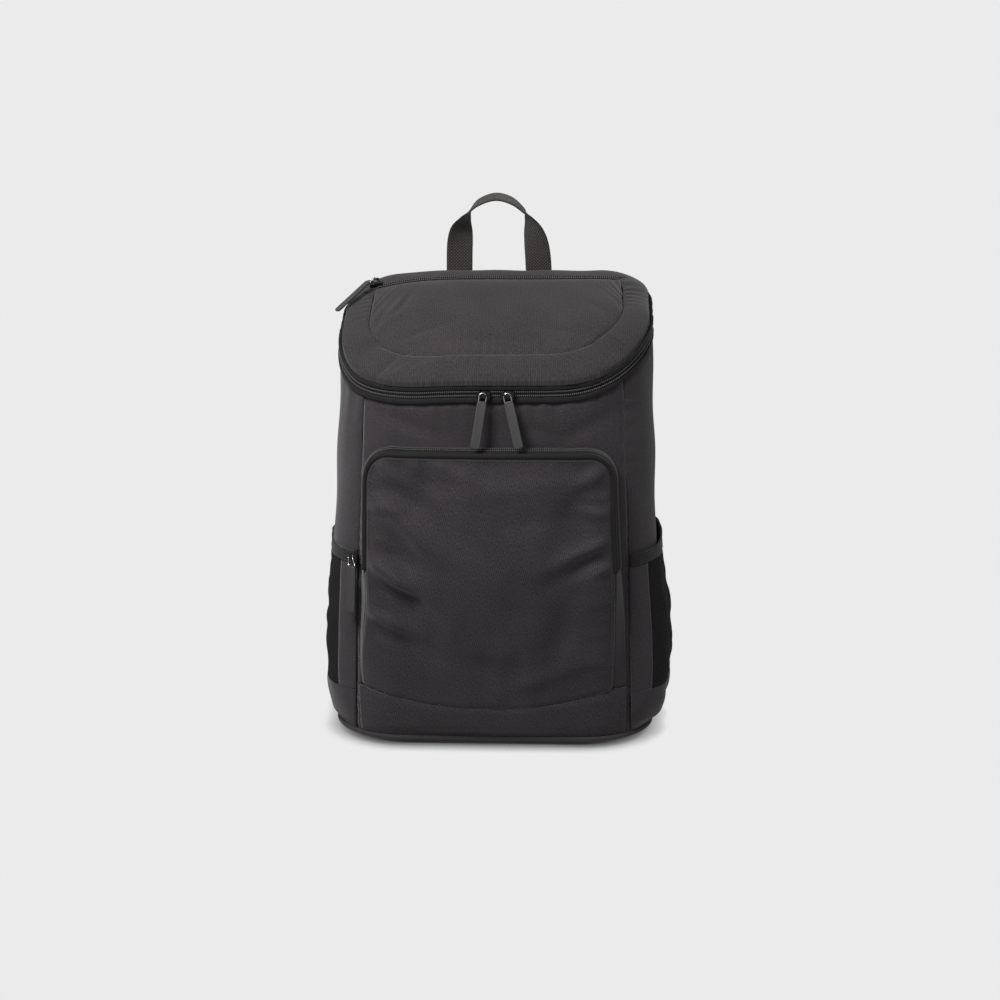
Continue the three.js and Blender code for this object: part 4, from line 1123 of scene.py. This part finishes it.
def make_side_pocket(name, side):
    elastic_bottom = SIDE_POCKET_TOP - SIDE_ELASTIC

    def part(label, u_range, z_range, count, thickness, look, waves):
        u, z = grid(np.linspace(*u_range, count), np.linspace(*z_range, 60))
        points = on_side_pocket(side, u, z, thickness)
        loose = np.sin(math.pi * np.clip(u, 0, 1))
        relief = waves * loose * swell(points[..., 1], z, 46, 91 + side)
        relief += 0.5 * waves * swell(points[..., 1], z, 22, 95 + side) * loose
        piece = shell(f"{label}_{name}_cloth", points, relief, thickness, centre=POCKET_MIDDLE)
        finished(piece, look, f"{label}_{name}")

    wavy = 1.5 if side < 0 else 0.9
    upper = (SIDE_MESH_BOTTOM, elastic_bottom)
    lower = (OVER_PIPING, SIDE_MESH_BOTTOM)
    band = (elastic_bottom, SIDE_POCKET_TOP)
    part("side_pocket_strip", (0, SIDE_STRIP_SHARE), upper, 16, CLOTH, "body", 0.6)
    part("side_pocket_mesh", (SIDE_STRIP_SHARE, 1), upper, 120, THIN_CLOTH, "mesh", wavy)
    part("side_pocket_base", (0, 1), lower, 120, CLOTH, "body", 0.9)
    part("side_pocket_elastic", (0, 1), band, 120, ELASTIC_CLOTH, "elastic", 0.7)


# Zip sliders and pulls

def dressed(node, look, bevel=0.0, levels=0):
    """A finer copy of a small hard piece: its edges rounded, or its facets smoothed."""
    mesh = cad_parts[node].data.copy()
    work = bmesh.new()
    work.from_mesh(mesh)
    bmesh.ops.remove_doubles(work, verts=work.verts, dist=1e-6)
    bmesh.ops.dissolve_limit(work, angle_limit=math.radians(1), verts=work.verts, edges=work.edges)
    work.to_mesh(mesh)
    work.free()
    mesh.shade_smooth()
    piece = placed(f"{node}_look", mesh)
    if bevel:
        modifier = piece.modifiers.new("edges", "BEVEL")
        modifier.width = bevel * MM
        modifier.segments = 3
        modifier.angle_limit = math.radians(35)
        modifier.harden_normals = True
    if levels:
        modifier = piece.modifiers.new("round", "SUBSURF")
        modifier.levels = modifier.render_levels = levels
    finished(piece, look, node)


def hanging_loop(pull):
    """A wire loop that stands up from its tab and faces the same way."""
    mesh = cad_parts[f"{pull}_tab"].data
    flat = np.zeros(3 * len(mesh.vertices))
    mesh.vertices.foreach_get("co", flat)
    points = flat.reshape(-1, 3) / MM
    centre = (points.max(0) + points.min(0)) / 2
    _, _, ways = np.linalg.svd(points - points.mean(0), full_matrices=False)
    up = ways[0] * np.sign(ways[0][2])
    across = ways[1] * np.sign(ways[1][0])
    top = centre + up * np.abs((points - centre) @ up).max()
    arch = np.linspace(0, math.pi, 15)
    legs = [(LOOP_HALF, -1.5), (LOOP_HALF, 1.5)]
    bend = [(LOOP_HALF * math.cos(a), LOOP_RISE - LOOP_HALF + LOOP_HALF * math.sin(a)) for a in arch]
    path = np.array(legs + bend + [(-x, y) for x, y in legs[::-1]])
    at = top + path[:, :1] * across + path[:, 1:] * up
    tangent = unit(np.gradient(at, axis=0))
    face = np.tile(np.cross(across, up), (len(at), 1))
    rings = rings_round(at, face, np.cross(tangent, face), WIRE, WIRE, 10)
    finished(tube(f"{pull}_loop", rings, False), "wire", f"{pull}_ring")


def make_pulls():
    for pull in ("main_pull_left", "main_pull_right", "pocket_pull", "lid_pull"):
        dressed(f"{pull}_slider", "slider", bevel=0.35)
        if pull.startswith("main"):
            hanging_loop(pull)
        else:
            dressed(f"{pull}_ring", "wire", levels=1)
        dressed(f"{pull}_tab", "rubber", bevel=0.3)
    for side in ("left", "right"):
        dressed(f"strap_lock_{side}", "plastic", bevel=0.8)


# Handle and straps

def spline(points, count):
    """Places, tangents and row shares on a smooth curve through points."""
    rows = np.arange(len(points), dtype=float)
    t = np.linspace(0, len(points) - 1, count)
    table = np.column_stack([rows, points])
    at = np.stack([catmull(table, k + 1, t) for k in range(3)], -1)
    return at, unit(np.gradient(at, axis=0)), t


def catmull(table, index, t):
    ys = table[:, index]
    i = np.clip(t.astype(int), 0, len(ys) - 2)
    s = t - i
    before = ys[np.maximum(i - 1, 0)]
    after = ys[np.minimum(i + 2, len(ys) - 1)]
    a, b = ys[i], ys[i + 1]
    return 0.5 * (2 * a + (b - before) * s + (2 * before - 5 * a + 4 * b - after) * s ** 2
                  + (3 * a - before - 3 * b + after) * s ** 3)


def webbing_rings(at, tangent, side):
    """Rings of flat webbing with rounded edges along a path."""
    side = unit(side - tangent * np.sum(side * tangent, 1, keepdims=True))
    out = np.cross(tangent, side)
    w, h = WEBBING_WIDTH / 2, WEBBING_THICKNESS / 2
    across = np.linspace(-w + h, w - h, 13)
    top = [(x, h * (1 + 0.08 * math.sin(x * 1.3))) for x in across]
    edge = [(w - 0.25 * h, 0.5 * h), (w, 0), (w - 0.25 * h, -0.5 * h)]
    below = [(x, -h) for x in across[::-1]]
    flat = np.array(top + edge + below + [(-x, z) for x, z in edge[::-1]])
    return at[:, None] + flat[None, :, :1] * side[:, None] + flat[None, :, 1:] * out[:, None]


def make_handle():
    rise = HANDLE_TOP - HANDLE_FOOT
    depth = float(section(HANDLE_FOOT)[1]) + SEAM_GAP + WEBBING_THICKNESS / 2
    points = np.column_stack([HANDLE[:, 0] * HANDLE_SPAN / 2, np.full(len(HANDLE), depth),
                              HANDLE_FOOT + HANDLE[:, 1] * rise])
    at, tangent, t = spline(points, 150)
    turn = np.radians(np.interp(t, np.arange(len(HANDLE)), HANDLE[:, 2]))
    side = np.column_stack([np.cos(turn), np.sin(turn), math.sin(HANDLE_TILT) * np.sin(turn)])
    handle = tube("grab_handle_webbing", webbing_rings(at, tangent, side), False)
    finished(handle, "webbing", "grab_handle")


def strap_at(side, drop):
    middle = side * column(STRAP, 2, drop) * BODY_WIDTH / 2
    return middle, SEAM_GAP + STRAP_REACH * column(STRAP, 1, drop), STRAP_WIDTH * column(STRAP, 3, drop)


def make_strap(name, side):
    drop, around = grid(np.linspace(0, 1, 110), np.arange(44) * TAU / 44)
    middle, gap, width = strap_at(side, drop)
    z = lerp(STRAP_TOP, STRAP_BOTTOM, drop)
    c, s = np.cos(around), np.sin(around)
    across = np.sign(c) * np.abs(c) ** 0.35
    puff = np.sign(s) * np.abs(s) ** 0.8
    channel = 1 - 0.5 * np.exp(-(((1 - np.abs(across)) * width / 2 - 6) / 1.6) ** 2)
    ends = 0.25 + 0.75 * smoothstep(np.minimum(drop, 1 - drop), 0, 0.06)
    thick = STRAP_THICKNESS / 2 * channel * ends
    y = section(z)[1] + gap + STRAP_THICKNESS / 2 + thick * puff + 0.25 * swell(z, across * 30, 40, 101)
    rings = np.stack([middle + across * width / 2 * (0.985 + 0.015 * ends), y, z], -1)
    pad = tube(f"shoulder_strap_{name}_pad", rings, False)
    finished(pad, "padding", f"shoulder_strap_{name}")
    for kind in ("webbing", "loop"):
        dressed(f"strap_{kind}_{name}", "webbing_plain", bevel=0.4)
    dressed(f"strap_anchor_{name}", "anchor", bevel=0.4)


# Floor, light and camera

def make_floor():
    mesh = bpy.data.meshes.new("floor")
    corners = [(x * FLOOR_HALF, y * FLOOR_HALF, 0) for x, y in ((-1, -1), (1, -1), (1, 1), (-1, 1))]
    mesh.from_pydata(corners, [], [(0, 1, 2, 3)])
    floor = placed("floor", mesh)
    material = bpy.data.materials.new("floor_paper")
    material.use_nodes = True
    nodes, links = material.node_tree.nodes, material.node_tree.links
    nodes.remove(nodes["Principled BSDF"])
    # The floor glows evenly; near the bag, ambient occlusion mixes it towards SHADOW_TONE, a painted
    # contact shadow.
    near = nodes.new("ShaderNodeAmbientOcclusion")
    near.inputs["Distance"].default_value = SHADOW_REACH
    near.samples = 16
    ramp = nodes.new("ShaderNodeMix")
    ramp.data_type = "RGBA"
    ramp.inputs[6].default_value = SHADOW_TONE
    ramp.inputs[7].default_value = FLOOR_TONE
    links.new(near.outputs["AO"], ramp.inputs[0])
    glow = nodes.new("ShaderNodeEmission")
    links.new(ramp.outputs[2], glow.inputs["Color"])
    links.new(glow.outputs[0], nodes["Material Output"].inputs["Surface"])
    mesh.materials.append(material)
    floor.visible_diffuse = False
    floor.visible_glossy = False
    floor.visible_shadow = False


def make_light():
    world = bpy.data.worlds.new("studio")
    bpy.context.scene.world = world
    world.use_nodes = True
    backdrop = world.node_tree.nodes["Background"]
    backdrop.inputs["Color"].default_value = (1, 1, 1, 1)
    backdrop.inputs["Strength"].default_value = SKY_STRENGTH
    lamp("key_light", KEY_PLACE, KEY_SIZE, KEY_POWER)
    bpy.context.scene.view_settings.view_transform = "Standard"


def lamp(name, place, size, power):
    data = bpy.data.lights.new(name, "AREA")
    data.size = size
    data.energy = power
    light = placed(name, data)
    light.location = place
    aim = KEY_AIM - light.location
    light.rotation_euler = aim.to_track_quat("-Z", "Y").to_euler()


def make_camera():
    data = bpy.data.cameras.new("camera")
    data.lens = CAMERA_LENS
    data.shift_x, data.shift_y = CAMERA_SHIFT
    camera = placed("camera", data)
    flat = math.cos(CAMERA_ELEVATION)
    across, away = math.sin(CAMERA_AZIMUTH), -math.cos(CAMERA_AZIMUTH)
    back = Vector((across * flat, away * flat, math.sin(CAMERA_ELEVATION)))
    camera.location = CAMERA_TARGET + back * CAMERA_DISTANCE
    camera.rotation_euler = (-back).to_track_quat("-Z", "Y").to_euler()
    bpy.context.scene.camera = camera


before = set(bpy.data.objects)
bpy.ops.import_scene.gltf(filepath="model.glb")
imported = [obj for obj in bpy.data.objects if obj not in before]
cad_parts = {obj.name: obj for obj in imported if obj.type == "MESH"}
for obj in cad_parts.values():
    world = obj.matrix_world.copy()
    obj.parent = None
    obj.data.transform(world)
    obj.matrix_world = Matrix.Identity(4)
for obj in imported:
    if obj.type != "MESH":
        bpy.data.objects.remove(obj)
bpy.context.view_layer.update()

make_camera()
make_floor()
make_light()
make_body()
make_main_zip()
make_lid()
make_front_pocket()
make_side_pocket("left", -1)
make_side_pocket("right", 1)
make_pulls()
make_handle()
make_strap("left", -1)
make_strap("right", 1)
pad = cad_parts["lid_pad"]
pad.data.materials.clear()
pad.data.materials.append(LOOKS["foam"])
